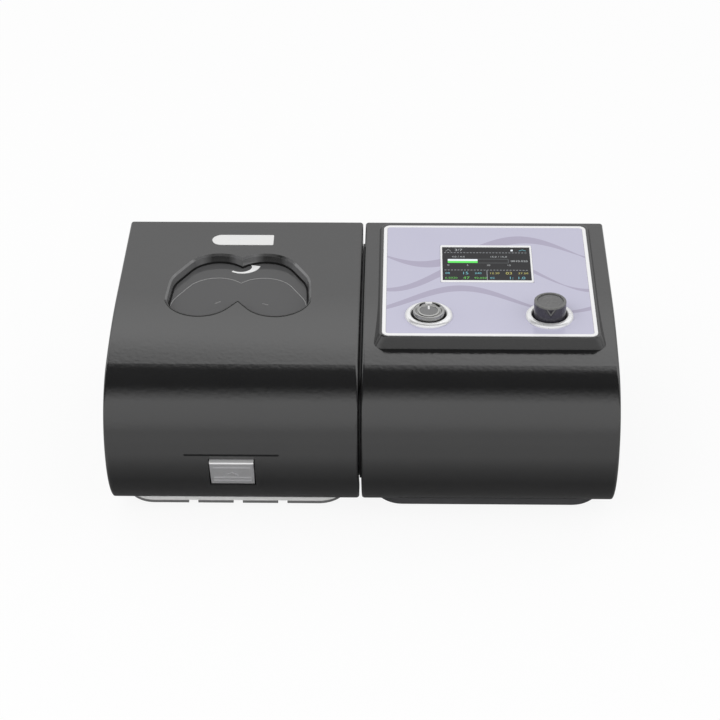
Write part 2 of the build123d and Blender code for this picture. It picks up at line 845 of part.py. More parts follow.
with BuildPart() as encoder_shaft:
    shaft_low_z = sleeve_rest_z + 1 + shaft_gap
    rod((knob_x, dial_y, shaft_low_z), encoder_shaft_radius, shaft_top_z - shaft_low_z, "Z")
    block(
        (knob_x - encoder_shaft_radius, dial_y + encoder_shaft_radius - shaft_flat, ring_top_z),
        (knob_x + encoder_shaft_radius, dial_y + encoder_shaft_radius, shaft_top_z + 1),
        Mode.SUBTRACT,
    )
save(encoder_shaft.part, "encoder_shaft")
with BuildPart() as control_knob:
    rod((knob_x, dial_y, knob_low_z), knob_radius, knob_top_z - knob_low_z, "Z")
    fillet(control_knob.faces().sort_by(Axis.Z)[-1].edges(), 0.7)
    # Dished top
    rod((knob_x, dial_y, knob_top_z - knob_dish), knob_radius - knob_rim, knob_dish, "Z", Mode.SUBTRACT)
    # Hollow underside round the hub
    with BuildSketch(Plane.XY.offset(knob_low_z)):
        with Locations((knob_x, dial_y)):
            Circle(knob_radius - knob_wall)
            Circle(encoder_shaft_radius + knob_hub_wall, mode=Mode.SUBTRACT)
    extrude(amount=knob_height - 2, mode=Mode.SUBTRACT)
    hub_depth = shaft_top_z - knob_low_z
    rod((knob_x, dial_y, knob_low_z), encoder_shaft_radius, hub_depth, "Z", Mode.SUBTRACT)
    block(
        (knob_x - encoder_shaft_radius, dial_y + encoder_shaft_radius - shaft_flat, ring_top_z),
        (knob_x + encoder_shaft_radius, dial_y + encoder_shaft_radius + shaft_gap, shaft_top_z),
    )
    # V-shaped pointer notch in the front of the rim
    pointer_z = knob_top_z - knob_dish - 0.5
    with BuildSketch(Plane.XZ.offset(-dial_y + knob_radius + 1)):
        with BuildLine():
            Polyline(
                (knob_x - pointer_width / 2, pointer_z),
                (knob_x + pointer_width / 2, pointer_z),
                (knob_x, pointer_z - pointer_length),
                close=True,
            )
        make_face()
    extrude(amount=-1 - pointer_depth, mode=Mode.SUBTRACT)
save(control_knob.part, "control_knob")

# ---- blower
duct_outer = spigot_radius
with BuildPart() as blower_housing_lower:
    rod((blower_x, blower_y, blower_low_z), blower_radius, blower_height / 2, "Z")
    rod(
        (blower_x, blower_y, blower_low_z + blower_wall),
        blower_radius - blower_wall,
        blower_height,
        "Z",
        Mode.SUBTRACT,
    )
    for x, y in mount_places:
        rod((x, y, blower_low_z), mount_radius, blower_wall, "Z")
    rod((blower_x, blower_y, blower_low_z - 1), motor_shaft + 2, blower_wall + 2, "Z", Mode.SUBTRACT)
    rod((main_left_x, port_y, port_z), duct_outer + glue_gap, blower_x - main_left_x, "X", Mode.SUBTRACT)
save(blower_housing_lower.part, "blower_housing_lower")
with BuildPart() as blower_housing_upper:
    rod((blower_x, blower_y, port_z), blower_radius, blower_height / 2, "Z")
    rod(
        (blower_x, blower_y, port_z - 1),
        blower_radius - blower_wall,
        blower_height / 2 + 1 - blower_wall,
        "Z",
        Mode.SUBTRACT,
    )
    rod((blower_x, blower_y, port_z), blower_eye, blower_height, "Z", Mode.SUBTRACT)
    rod((main_left_x, port_y, port_z), duct_outer + glue_gap, blower_x - main_left_x, "X", Mode.SUBTRACT)
save(blower_housing_upper.part, "blower_housing_upper")
impeller_low_z = port_z - impeller_height / 2
with BuildPart() as blower_impeller:
    rod((blower_x, blower_y, impeller_low_z), impeller_radius, 2, "Z")
    rod((blower_x, blower_y, impeller_low_z), motor_shaft + 3, impeller_height, "Z")
    for k in range(blade_count):
        turn = Rotation(0, 0, k * 360 / blade_count)
        hub = Location((blower_x, blower_y, impeller_low_z + 1))
        with Locations(hub * turn * Location((impeller_radius / 2 + 3, 4, 0), (0, 0, blade_turn))):
            Box(
                impeller_radius * 0.8,
                vane_thickness,
                impeller_height - 3,
                align=(Align.CENTER, Align.CENTER, Align.MIN),
            )
    rod((blower_x, blower_y, impeller_low_z - 1), motor_shaft, impeller_height + 2, "Z", Mode.SUBTRACT)
save(blower_impeller.part, "blower_impeller")
with BuildPart() as motor_rotor_shaft:
    rotor_low_z = blower_low_z - shaft_socket
    rod((blower_x, blower_y, rotor_low_z), motor_shaft, impeller_low_z + impeller_height - rotor_low_z, "Z")
save(motor_rotor_shaft.part, "motor_shaft")
with BuildPart() as blower_motor:
    rod((blower_x, blower_y, blower_low_z - motor_height), motor_radius, motor_height, "Z")
    fillet(blower_motor.faces().sort_by(Axis.Z)[0].edges(), 2)
    socket_bore = motor_shaft + shaft_gap
    rod((blower_x, blower_y, rotor_low_z - fit_gap), socket_bore, shaft_socket + 1, "Z", Mode.SUBTRACT)
    with Locations((blower_x, blower_y, blower_low_z - motor_height / 2)):
        with PolarLocations(motor_radius, motor_fins):
            Box(fin_slot, fin_slot, motor_height * 0.6, mode=Mode.SUBTRACT)
save(blower_motor.part, "blower_motor")
with BuildPart() as blower_mounts:
    for x, y in mount_places:
        rod((x, y, mount_low_z), mount_radius, mount_height, "Z")
        rod((x, y, mount_low_z + mount_height * 0.35), mount_radius + 1, mount_height * 0.3, "Z")
save(blower_mounts.part, "blower_mounts")
spigot_end_x = main_left_x - spigot_reach
with BuildPart() as outlet_duct:
    rod((spigot_end_x, port_y, port_z), duct_outer, blower_x - blower_radius + 10 - spigot_end_x, "X")
    fillet(outlet_duct.faces().sort_by(Axis.X)[0].edges(), 0.8)
    rod((inner_left_x, port_y, port_z), duct_outer + 3, 2, "X")
    rod((spigot_end_x - 1, port_y, port_z), spigot_bore, blower_x - spigot_end_x, "X", Mode.SUBTRACT)
save(outlet_duct.part, "outlet_duct")

# ---- rear air inlet: foam muffler, filter pad and louvred cover
filter_front_y = back_y - wall - filter_thickness
muffler_back_y = filter_front_y - 1
muffler_left_x = filter_x - filter_width / 2 - muffler_side
muffler_low = (muffler_left_x, muffler_back_y - muffler_depth, deck_z + muffler_foot)
muffler_high = (inner_right_x - muffler_side / 2, muffler_back_y, top_z - muffler_head)
channel_half_w = filter_width / 2 - channel_inset
channel_half_h = filter_height / 2 - channel_inset
with BuildPart() as inlet_muffler:
    block(muffler_low, muffler_high)
    fillet(inlet_muffler.edges().filter_by(Axis.Z), 3)
    rod((blower_x, blower_y, muffler_low[2] - 1), blower_radius + 3, muffler_high[2], "Z", Mode.SUBTRACT)
    block(
        (filter_x - channel_half_w, filter_front_y - channel_depth, filter_z - channel_half_h),
        (filter_x + channel_half_w, filter_front_y + 1, filter_z + channel_half_h),
        Mode.SUBTRACT,
    )
    block(
        (filter_x - channel_half_w, filter_front_y - channel_depth, filter_z - channel_half_h),
        (filter_x + channel_half_w, filter_front_y - channel_depth / 2, muffler_high[2] + 1),
        Mode.SUBTRACT,
    )
save(inlet_muffler.part, "inlet_muffler")
with BuildPart() as inlet_filter:
    block(
        (filter_x - filter_width / 2 + 1, filter_front_y, filter_z - filter_height / 2 + 1),
        (filter_x + filter_width / 2 - 1, back_y - wall, filter_z + filter_height / 2 - 1),
    )
save(inlet_filter.part, "inlet_filter")
with BuildPart() as filter_cover:
    half_w = filter_width / 2 - fit_gap
    half_h = filter_height / 2 - fit_gap
    block(
        (filter_x - half_w, back_y - filter_cover_thickness, filter_z - half_h),
        (filter_x + half_w, back_y, filter_z + half_h),
    )
    fillet(filter_cover.edges().filter_by(Axis.Y), 1.0)
    with BuildSketch(Plane.XZ.offset(-back_y - 1)):
        with Locations((filter_x, filter_z)):
            with GridLocations(1, filter_height / (louvre_count + 1), 1, louvre_count):
                SlotOverall(filter_width - 2 * muffler_side, louvre_width)
    extrude(amount=filter_cover_thickness + 2, mode=Mode.SUBTRACT)
save(filter_cover.part, "filter_cover")

# ---- electronics
with BuildPart() as main_circuit_board:
    block(
        (main_board_low[0], main_board_low[1], main_board_z),
        (main_board_high[0], main_board_high[1], main_board_z + board_thickness),
    )
    main_chip_z = main_board_z + board_thickness - glue_gap
    main_board_x = (main_board_low[0] + main_board_high[0]) / 2
    chip(main_board_x, main_board_low[1] + chip_size, main_chip_z, chip_size, chip_size, chip_height)
    chip(
        main_board_low[0] + choke_size,
        main_board_low[1] + 3 * choke_size,
        main_chip_z,
        choke_size,
        choke_size,
        choke_height,
    )
    chip(
        main_board_high[0] - driver_width,
        main_board_low[1] + 2 * chip_size,
        main_chip_z,
        driver_width,
        driver_length,
        chip_height,
    )
save(main_circuit_board.part, "main_circuit_board")
with BuildPart() as power_inlet_socket:
    half = power_size / 2 - fit_gap
    block(
        (power_x - half, back_y - power_length, power_z - half),
        (power_x + half, back_y - 0.5, power_z + half),
    )
    fillet(power_inlet_socket.edges().filter_by(Axis.Y), 1.0)
    power_floor_y = back_y - power_length + power_back
    rod((power_x, power_floor_y, power_z), power_bore, power_length, "Y", Mode.SUBTRACT)
    rod((power_x, power_floor_y - 1, power_z), power_pin, power_length - power_back - 1, "Y")
save(power_inlet_socket.part, "power_inlet_socket")
card_rest_x = right_x - 0.6
socket_gap = move_gap / 2
with BuildPart() as card_socket:
    pocket_x = card_rest_x - card_length - socket_gap
    pocket_half_w = card_width / 2 + socket_gap
    pocket_half_h = card_thickness / 2 + socket_gap
    block(
        (pocket_x - 2 * card_wall, card_y - pocket_half_w - card_wall, card_z - pocket_half_h - card_wall),
        (inner_right_x - fit_gap, card_y + pocket_half_w + card_wall, card_z + pocket_half_h + card_wall),
    )
    block(
        (pocket_x, card_y - pocket_half_w, card_z - pocket_half_h),
        (right_x, card_y + pocket_half_w, card_z + pocket_half_h),
        Mode.SUBTRACT,
    )
save(card_socket.part, "card_socket")
with BuildPart() as data_card:
    block(
        (card_rest_x - card_length, card_y - card_width / 2, card_z - card_thickness / 2),
        (card_rest_x, card_y + card_width / 2, card_z + card_thickness / 2),
    )
    block(
        (card_rest_x - 2 * card_wall, card_y - card_grip / 2, card_z + card_thickness / 2 - mark_depth),
        (card_rest_x - card_wall, card_y + card_grip / 2, card_z + card_thickness),
        Mode.SUBTRACT,
    )
save(data_card.part, "data_card")
plug_half_w = connector_width / 2 - fit_gap
plug_half_h = connector_height / 2 - fit_gap
slot_half_t = blade_thickness / 2 + fit_gap
slot_half_w = blade_width / 2 + fit_gap
with BuildPart() as heater_socket:
    block(
        (inner_left_x - 1, connector_y - plug_half_w, connector_z - plug_half_h),
        (inner_left_x + connector_height, connector_y + plug_half_w, connector_z + plug_half_h),
    )
    for k in (-1, 0, 1):
        blade_y = connector_y + k * blade_pitch
        block(
            (inner_left_x - 2, blade_y - slot_half_t, connector_z - slot_half_w),
            (inner_left_x + blade_reach + 1, blade_y + slot_half_t, connector_z + slot_half_w),
            Mode.SUBTRACT,
        )
save(heater_socket.part, "heater_socket")

# ================================================================ HUMIDIFIER CHASSIS
hinge_y = back_y - hinge_inset
hinge_z = top_z - hinge_inset
chassis_left_x = left_x + wall + move_gap
dock_out_x = humidifier_right_x - wall - move_gap / 2
dock_in_x = dock_out_x - dock_wall
dock_face_x = main_left_x - dock_gap
rear_wall_top = top_z - rear_wall_drop
hinge_middles = (humidifier_x - hinge_lug_offset, humidifier_x + hinge_lug_offset)
port_x = humidifier_x + port_offset
deck_top_z = deck_z + pan_flange
# The cover turns about the hinge: what it sweeps, and what must stay inside its path
swept_corner = math.hypot(hinge_inset, hinge_inset) - edge_round * (math.sqrt(2) - 1) + move_gap
chin_swing = math.hypot(hinge_y - chin_y(wall, bottom_z), hinge_z - bottom_z) - move_gap
boss_swing = chin_swing - 8.0
tub_left_x = left_x + wall + tub_side_gap
collar_low_x = dock_face_x - spigot_reach - seal_wall / 2
tub_right_x = collar_low_x - 1.5
tub_back_y = back_y - tub_back_depth
tub_front_y = back_y - tub_front_depth
tub_low = (tub_left_x, tub_front_y)
tub_high = (tub_right_x, tub_back_y)
tub_x = (tub_left_x + tub_right_x) / 2
tub_y = (tub_front_y + tub_back_y) / 2
insulator_z = pan_inside_z
film_z = deck_z - heater_film + 0.5
heater_z = film_z + heater_film
tub_base_z = heater_z + heater_thickness
tub_lid_z = top_z - tub_lid_drop - tub_lid_thickness
catch_y = chin_y(chassis_inset, deck_z) + catch_inset
hook_y = catch_y + catch_thickness + catch_gap
tub_rim_z = tub_lid_z - tub_seal_thickness


def corner_cut(part_gap):
    """Side outline of the space that the cover's back corner sweeps round the hinge."""
    reach = math.hypot(hinge_inset, hinge_inset) + part_gap
    with BuildSketch() as cut:
        with BuildLine():
            Polyline(
                (hinge_y - reach - 6, top_z + 1),
                (hinge_y - reach - 6, hinge_z - 4),
                (hinge_y - reach * 0.42, hinge_z - reach),
                (back_y + 1, hinge_z - reach),
                (back_y + 1, top_z + 1),
                close=True,
            )
        make_face()
    return cut.sketch


with BuildPart() as humidifier_chassis:
    # Deck, rear wall and docking wall
    block((chassis_left_x, chin_y(chassis_inset, deck_z), deck_z), (dock_out_x, back_y, deck_top_z))
    block((chassis_left_x, back_y - wall, flange_z), (humidifier_right_x, back_y, rear_wall_top))
    rod((left_x, hinge_y, hinge_z), swept_corner, total_width, "X", Mode.SUBTRACT)
    with BuildSketch(Plane.YZ.offset(dock_in_x)):
        add(body_outline(chassis_inset, deck_z))
        add(corner_cut(move_gap), mode=Mode.SUBTRACT)
        with Locations((hinge_y, hinge_z)):
            Circle(chin_swing, mode=Mode.INTERSECT)
    extrude(amount=dock_wall)
    with BuildSketch(Plane.YZ.offset(dock_out_x)):
        add(body_outline(boss_inset, bottom_z + 6))
        add(corner_cut(boss_inset / 2), mode=Mode.SUBTRACT)
        with Locations((hinge_y, hinge_z)):
            Circle(boss_swing, mode=Mode.INTERSECT)
        with BuildLine():
            low_corner_y = chin_y(0, bottom_z)
            Polyline(
                (low_corner_y - dock_cut_depth, bottom_z + dock_cut_rise),
                (low_corner_y + dock_cut_depth, bottom_z),
                (low_corner_y - dock_cut_depth, bottom_z),
                close=True,
            )
        make_face(mode=Mode.SUBTRACT)
    extrude(amount=dock_face_x - dock_out_x)
    # Thin plate that closes most of the seam between the two units
    seam_plate_x = humidifier_right_x + fit_gap
    with BuildSketch(Plane.YZ.offset(seam_plate_x)):
        add(body_outline(seam_plate_inset, bottom_z + seam_plate_foot))
    extrude(amount=dock_face_x - seam_plate_x)
    # Splash rim along the open left side
    block((chassis_left_x, tub_front_y, deck_z), (chassis_left_x + 1.8, tub_back_y, deck_top_z + 6))
    # Goose-neck ears that carry the hinge pins
    for ear_x in hinge_middles:
        with BuildSketch(Plane.YZ.offset(ear_x - knuckle_width / 2)):
            with BuildLine():
                Polyline(
                    (hinge_y, hinge_z + knuckle_radius),
                    (hinge_y - ear_reach - ear_column, hinge_z + knuckle_radius),
                    (hinge_y - ear_reach - ear_column, hinge_z - ear_drop),
                    (back_y - wall / 2, hinge_z - ear_drop),
                    (back_y - wall / 2, rear_wall_top - 4),
                    (hinge_y - ear_reach, rear_wall_top - 4),
                    (hinge_y - ear_reach, hinge_z - knuckle_radius + 0.5),
                    (hinge_y, hinge_z - knuckle_radius + 0.5),
                    close=True,
                )
            make_face()
            with Locations((hinge_y, hinge_z)):
                Circle(knuckle_radius)
        extrude(amount=knuckle_width)
        rod((ear_x - knuckle_width, hinge_y, hinge_z), pin_radius, knuckle_width * 2, "X", Mode.SUBTRACT)
    # Air collar, heater connector window, outlet hole, heater opening
    collar_bore = spigot_radius + seal_wall
    seal_back_x = dock_face_x - 5
    rod((collar_low_x, port_y, port_z), collar_bore + collar_wall, dock_in_x - collar_low_x, "X")
    rod((collar_low_x, port_y, port_z), collar_bore, seal_back_x - collar_low_x, "X", Mode.SUBTRACT)
    rod((dock_in_x, port_y, port_z), spigot_radius + move_gap, total_width, "X", Mode.SUBTRACT)
    block(
        (dock_in_x - 1, connector_y - connector_width / 2, connector_z - connector_height / 2),
        (dock_face_x + 1, connector_y + connector_width / 2, connector_z + connector_height / 2),
        Mode.SUBTRACT,
    )
    rod((port_x, back_y - wall - 1, port_z), port_radius + port_step, wall + 2, "Y", Mode.SUBTRACT)
    block(
        (tub_x - heater_width / 2 - fit_gap, tub_y - heater_length / 2 - fit_gap, deck_z - 1),
        (tub_x + heater_width / 2 + fit_gap, tub_y + heater_length / 2 + fit_gap, deck_top_z + 1),
        Mode.SUBTRACT,
    )
    # Catch for the latch hook
    block(
        (humidifier_x - slide_width / 2, catch_y, deck_z),
        (humidifier_x + slide_width / 2, catch_y + catch_thickness, deck_top_z + catch_height),
    )
    for x, y in tank_screw_places:
        rod((x, y, deck_z), screw_radius, pan_flange + 1, "Z", Mode.SUBTRACT)
save(humidifier_chassis.part, "humidifier_chassis")

notch_places = [humidifier_x + k * notch_pitch + 1.0 for k in (-1, 0, 1)]
with BuildPart() as humidifier_base_pan:
    add(
        base_pan(
            tank_pan_low,
            tank_pan_high,
            tank_screw_places,
            (chassis_left_x, chin_y(chassis_inset, flange_z)),
            (dock_out_x, back_y - wall - fit_gap),
            notch_places,
        )
    )
save(humidifier_base_pan.part, "humidifier_base_pan")
save(feet(tank_feet_places), "humidifier_feet")
save(screws(tank_screw_places, floor_z, deck_top_z - floor_z - fit_gap), "humidifier_screws")

with BuildPart() as hinge_pins:
    for ear_x in hinge_middles:
        rod((ear_x - knuckle_width * 1.6, hinge_y, hinge_z), pin_radius, knuckle_width * 3.2, "X")
save(hinge_pins.part, "hinge_pins")

# ---- heater stack
heater_low = (tub_x - heater_width / 2, tub_y - heater_length / 2)
heater_high = (tub_x + heater_width / 2, tub_y + heater_length / 2)
with BuildPart() as heater_insulator:
    block((heater_low[0], heater_low[1], insulator_z), (heater_high[0], heater_high[1], film_z))
save(heater_insulator.part, "heater_insulator")
with BuildPart() as heater_film_element:
    with BuildSketch(Plane.XY.offset(film_z)):
        add(rounded_plan(heater_low, heater_high, 3, 6))
        add(rounded_plan(heater_low, heater_high, 14, 15), mode=Mode.SUBTRACT)
    extrude(amount=heater_film)
save(heater_film_element.part, "heater_film")
with BuildPart() as heater_plate:
    with BuildSketch(Plane.XY.offset(heater_z)):
        add(rounded_plan(heater_low, heater_high, 0, 4))
    extrude(amount=heater_thickness)
    chamfer(heater_plate.faces().sort_by(Axis.Z)[-1].edges(), 0.5)
save(heater_plate.part, "heater_plate")
with BuildPart() as heater_connector:
    block(
        (dock_in_x - connector_height / 2, connector_y - plug_half_w, connector_z - plug_half_h),
        (dock_face_x, connector_y + plug_half_w, connector_z + plug_half_h),
    )
    for k in (-1, 0, 1):
        blade_y = connector_y + k * blade_pitch
        block(
            (dock_in_x - blade_tail, blade_y - blade_thickness / 2, connector_z - blade_width / 2),
            (inner_left_x + blade_reach, blade_y + blade_thickness / 2, connector_z + blade_width / 2),
        )
save(heater_connector.part, "heater_connector")

# ---- air seals and outlet port
with BuildPart() as dock_port_seal:
    rod((collar_low_x - 1, port_y, port_z), spigot_radius + seal_wall, dock_in_x - collar_low_x + 1, "X")
    rod((collar_low_x - 2, port_y, port_z), spigot_radius + fit_gap, spigot_reach + 6, "X", Mode.SUBTRACT)
save(dock_port_seal.part, "dock_port_seal")
port_inner_y = back_y - wall - port_flange_thickness
port_root_y = tub_back_y + port_seat
with BuildPart() as outlet_port:
    rod((port_x, port_inner_y, port_z), port_flange, port_flange_thickness, "Y")
    rod((port_x, port_inner_y, port_z), port_radius + port_step, back_y - port_inner_y, "Y")
    rod((port_x, port_root_y, port_z), port_radius, back_y + port_reach - port_root_y, "Y")
    fillet(outlet_port.faces().sort_by(Axis.Y)[-1].edges(), 0.6)
    rod((port_x, tub_back_y, port_z), port_bore, back_y + port_reach - tub_back_y + 5, "Y", Mode.SUBTRACT)
save(outlet_port.part, "outlet_port")
with BuildPart() as outlet_seal:
    gasket_y = tub_back_y + move_gap
    rod((port_x, gasket_y, port_z), port_radius + port_gasket_wall, port_gasket_length, "Y")
    rod((port_x, port_root_y, port_z), port_radius, port_gasket_length, "Y", Mode.SUBTRACT)
    rod((port_x, gasket_y, port_z), port_bore, port_gasket_length, "Y", Mode.SUBTRACT)
save(outlet_seal.part, "outlet_seal")

# ---- water tub, metal base, seal, lid and fill cap
with BuildPart() as water_tub:
    with BuildSketch(Plane.XY.offset(tub_base_z)):
        add(rounded_plan(tub_low, tub_high, 0, tub_corner))
    extrude(amount=tub_rim_z - tub_base_z)
    fillet(water_tub.faces().sort_by(Axis.Z)[0].edges(), 1.5)
    with BuildSketch(Plane.XY.offset(tub_base_z + tub_floor)):
        add(rounded_plan(tub_low, tub_high, tub_wall, tub_corner))
    extrude(amount=tub_rim_z - tub_base_z, mode=Mode.SUBTRACT)
    with BuildSketch(Plane.XY.offset(tub_base_z - 1)):
        add(rounded_plan(heater_low, heater_high, 0, 6))
    extrude(amount=metal_base + 1, mode=Mode.SUBTRACT)
    with BuildSketch(Plane.XY.offset(tub_base_z)):
        add(rounded_plan(heater_low, heater_high, heater_lap, 6))
    extrude(amount=tub_floor + 1, mode=Mode.SUBTRACT)
    rod((tub_right_x - tub_wall - 1, port_y, port_z), spigot_bore, tub_wall + 2, "X", Mode.SUBTRACT)
    rod((port_x, tub_back_y - tub_wall - 1, port_z), port_bore, tub_wall + 2, "Y", Mode.SUBTRACT)
save(water_tub.part, "water_tub")
with BuildPart() as tub_metal_base:
    with BuildSketch(Plane.XY.offset(tub_base_z)):
        add(rounded_plan(heater_low, heater_high, 0, 6))
    extrude(amount=metal_base)
save(tub_metal_base.part, "tub_metal_base")
with BuildPart() as tub_seal:
    with BuildSketch(Plane.XY.offset(tub_rim_z)):
        add(rounded_plan(tub_low, tub_high, 0, tub_corner))
        add(rounded_plan(tub_low, tub_high, tub_wall, tub_corner), mode=Mode.SUBTRACT)
    extrude(amount=tub_seal_thickness)
save(tub_seal.part, "tub_seal")


def lobe(side, inset):
    """One lobe of the window outline: the hull of a back, a side and a front circle."""
    with BuildSketch() as outline:
        with Locations((humidifier_x + side * lobe_back_offset, back_y - lobe_back_depth)):
            Circle(lobe_back_radius - inset)
        with Locations((humidifier_x + side * lobe_side_offset, back_y - lobe_side_depth)):
            Circle(lobe_side_radius - inset)
        with Locations((humidifier_x + side * lobe_front_offset, back_y - lobe_front_depth)):
            Circle(lobe_front_radius - inset)
        make_hull()
    return outline.sketch


fill_cap_y = back_y - fill_cap_depth
lid_top_z = tub_lid_z + tub_lid_thickness
with BuildPart() as tub_lid:
    with BuildSketch(Plane.XY.offset(tub_lid_z)):
        add(rounded_plan(tub_low, tub_high, -0.6, tub_corner))
    extrude(amount=tub_lid_thickness)
    fillet(tub_lid.faces().sort_by(Axis.Z)[-1].edges(), 0.8)
    with BuildSketch(Plane.XY.offset(tub_lid_z - tub_rim)):
        add(rounded_plan(tub_low, tub_high, tub_wall + fit_gap, tub_corner))
        add(rounded_plan(tub_low, tub_high, tub_wall + fit_gap + 1.8, tub_corner), mode=Mode.SUBTRACT)
    extrude(amount=tub_rim + 0.5)
    ridge_middles = [(humidifier_x + side * ridge_offset, back_y - ridge_depth) for side in (-1, 1)]
    with BuildSketch(Plane.XY.offset(lid_top_z - 0.5)):
        with Locations(*ridge_middles):
            Circle(ridge_radius)
        with Locations(*ridge_middles):
            Circle(ridge_radius - ridge_width, mode=Mode.SUBTRACT)
    extrude(amount=ridge_height + 0.5)
    cap_bore = fill_cap_radius + fit_gap
    rod((humidifier_x, fill_cap_y, tub_lid_z), fill_neck_radius, tub_lid_thickness, "Z", Mode.SUBTRACT)
    rod((humidifier_x, fill_cap_y, lid_top_z), cap_bore, ridge_height + 1, "Z", Mode.SUBTRACT)
save(tub_lid.part, "tub_lid")
with BuildPart() as tub_fill_cap:
    rod((humidifier_x, fill_cap_y, lid_top_z), fill_cap_radius, fill_cap_height, "Z")
    fillet(tub_fill_cap.faces().sort_by(Axis.Z)[-1].edges(), 0.8)
    rod((humidifier_x, fill_cap_y, tub_lid_z), fill_neck_radius - fit_gap, tub_lid_thickness + 1, "Z")
save(tub_fill_cap.part, "tub_fill_cap")

# ================================================================ COVER
well_low_z = top_z - well_depth
well_slope = well_depth * math.tan(math.radians(well_taper))
button_top_z = top_z - button_top
button_low_z = button_top_z - button_height
button_half = button_width / 2 + button_gap
crease_z = top_z - crease_drop
guide_half_w = slide_width / 2 + move_gap / 2
guide_z = top_z - slide_drop
guide_half_h = slide_height / 2 + move_gap / 2
guide_front_y = back_y - button_foot_depth + button_thickness + 4.5
guide_back_y = guide_front_y + 9
with BuildPart() as humidifier_cover:
    with BuildSketch(Plane.YZ.offset(left_x)):
        add(body_outline(0, bottom_z))
    extrude(amount=humidifier_width)
    ends = humidifier_cover.faces().filter_by(Axis.X)
    rim_edges = ends.edges().filter_by(lambda e: e.center().Z > bottom_z + 1)
    roof_edge = humidifier_cover.edges().filter_by(Axis.X).group_by(Axis.Z)[-1].sort_by(Axis.Y)[-1]
    fillet([*rim_edges, roof_edge], edge_round)
    with BuildSketch(Plane.YZ.offset(left_x + wall)):
        add(body_outline(wall, bottom_z - 1))
    extrude(amount=humidifier_width - 2 * wall, mode=Mode.SUBTRACT)
    with BuildSketch(Plane.YZ.offset(humidifier_right_x - wall - 1)):
        add(body_outline(flange_width, bottom_z - 1))
    extrude(amount=wall + 2, mode=Mode.SUBTRACT)
    with BuildSketch(Plane.YZ.offset(humidifier_right_x - wall - 1)):
        with Locations((hinge_y, hinge_z)):
            Circle(boss_swing + move_gap)
        with Locations((front_y, chin_centre_z + body_height)):
            Rectangle(4 * body_depth, 2 * body_height, mode=Mode.SUBTRACT)
    extrude(amount=wall + 2, mode=Mode.SUBTRACT)
    block(
        (left_x + wall, back_y - flange_width - 1, bottom_z - 1),
        (humidifier_right_x + 1, back_y + 1, top_z - cover_back_drop),
        Mode.SUBTRACT,
    )
    # Well round the window: a sloping wall and a bevelled lip
    for side in (-1, 1):
        with BuildSketch(Plane.XY.offset(top_z - wall / 2)):
            add(lobe(side, -well_wall))
        with BuildSketch(Plane.XY.offset(well_low_z)):
            add(lobe(side, well_slope - well_wall))
        loft()
    for side in (-1, 1):
        with BuildSketch(Plane.XY.offset(top_z)):
            add(lobe(side, 0))
        with BuildSketch(Plane.XY.offset(well_low_z)):
            add(lobe(side, well_slope))
        loft(mode=Mode.SUBTRACT)
        with BuildSketch(Plane.XY.offset(top_z)):
            add(lobe(side, -well_lip))
        with BuildSketch(Plane.XY.offset(top_z - well_lip)):
            add(lobe(side, 0))
        loft(mode=Mode.SUBTRACT)
    # Button opening and the crease line above it
    block(
        (humidifier_x - button_half, front_y - 5, button_low_z - button_gap),
        (humidifier_x + button_half, front_y + 16, button_top_z + button_gap),
        Mode.SUBTRACT,
    )
    with BuildSketch(Plane.XZ.offset(-front_y + 1)):
        with Locations((humidifier_x, crease_z)):
            SlotOverall(crease_length, crease_width)
    extrude(amount=-1 - crease_depth, mode=Mode.SUBTRACT)
    # Hinge lugs either side of each chassis ear
    for ear_x in hinge_middles:
        for side in (-1, 1):
            lug_x = ear_x + side * (knuckle_width + move_gap) - knuckle_width / 2
            with BuildSketch(Plane.YZ.offset(lug_x)):
                with Locations((hinge_y, hinge_z)):
                    Circle(knuckle_radius)
                with BuildLine():
                    Polyline(
                        (hinge_y - knuckle_radius, hinge_z),
                        (hinge_y - knuckle_radius, top_z - wall / 2),
                        (back_y - wall / 2, top_z - wall / 2),
                        (back_y - wall / 2, hinge_z),
                        close=True,
                    )
                make_face()
            extrude(amount=knuckle_width)
            rod((lug_x, hinge_y, hinge_z), pin_radius + shaft_gap, knuckle_width, "X", Mode.SUBTRACT)
save(humidifier_cover.part, "humidifier_cover")

with BuildPart() as cover_window:
    with BuildSketch(Plane.XY.offset(well_low_z - window_thickness)):
        for side in (-1, 1):
            add(lobe(side, well_slope - window_lap))
    extrude(amount=window_thickness)
save(cover_window.part, "cover_window")

label_x = humidifier_x + label_offset
label_y = back_y - label_depth
with BuildPart() as cover_label:
    with BuildSketch(Plane.XY.offset(top_z)):
        with Locations((label_x + label_end_radius / 2, label_y)):
            RectangleRounded(label_length - label_end_radius, label_width, 1.0)
        with Locations((label_x - label_length / 2 + label_end_radius, label_y)):
            Circle(label_end_radius)
    extrude(amount=label_thickness)
save(cover_label.part, "cover_label")

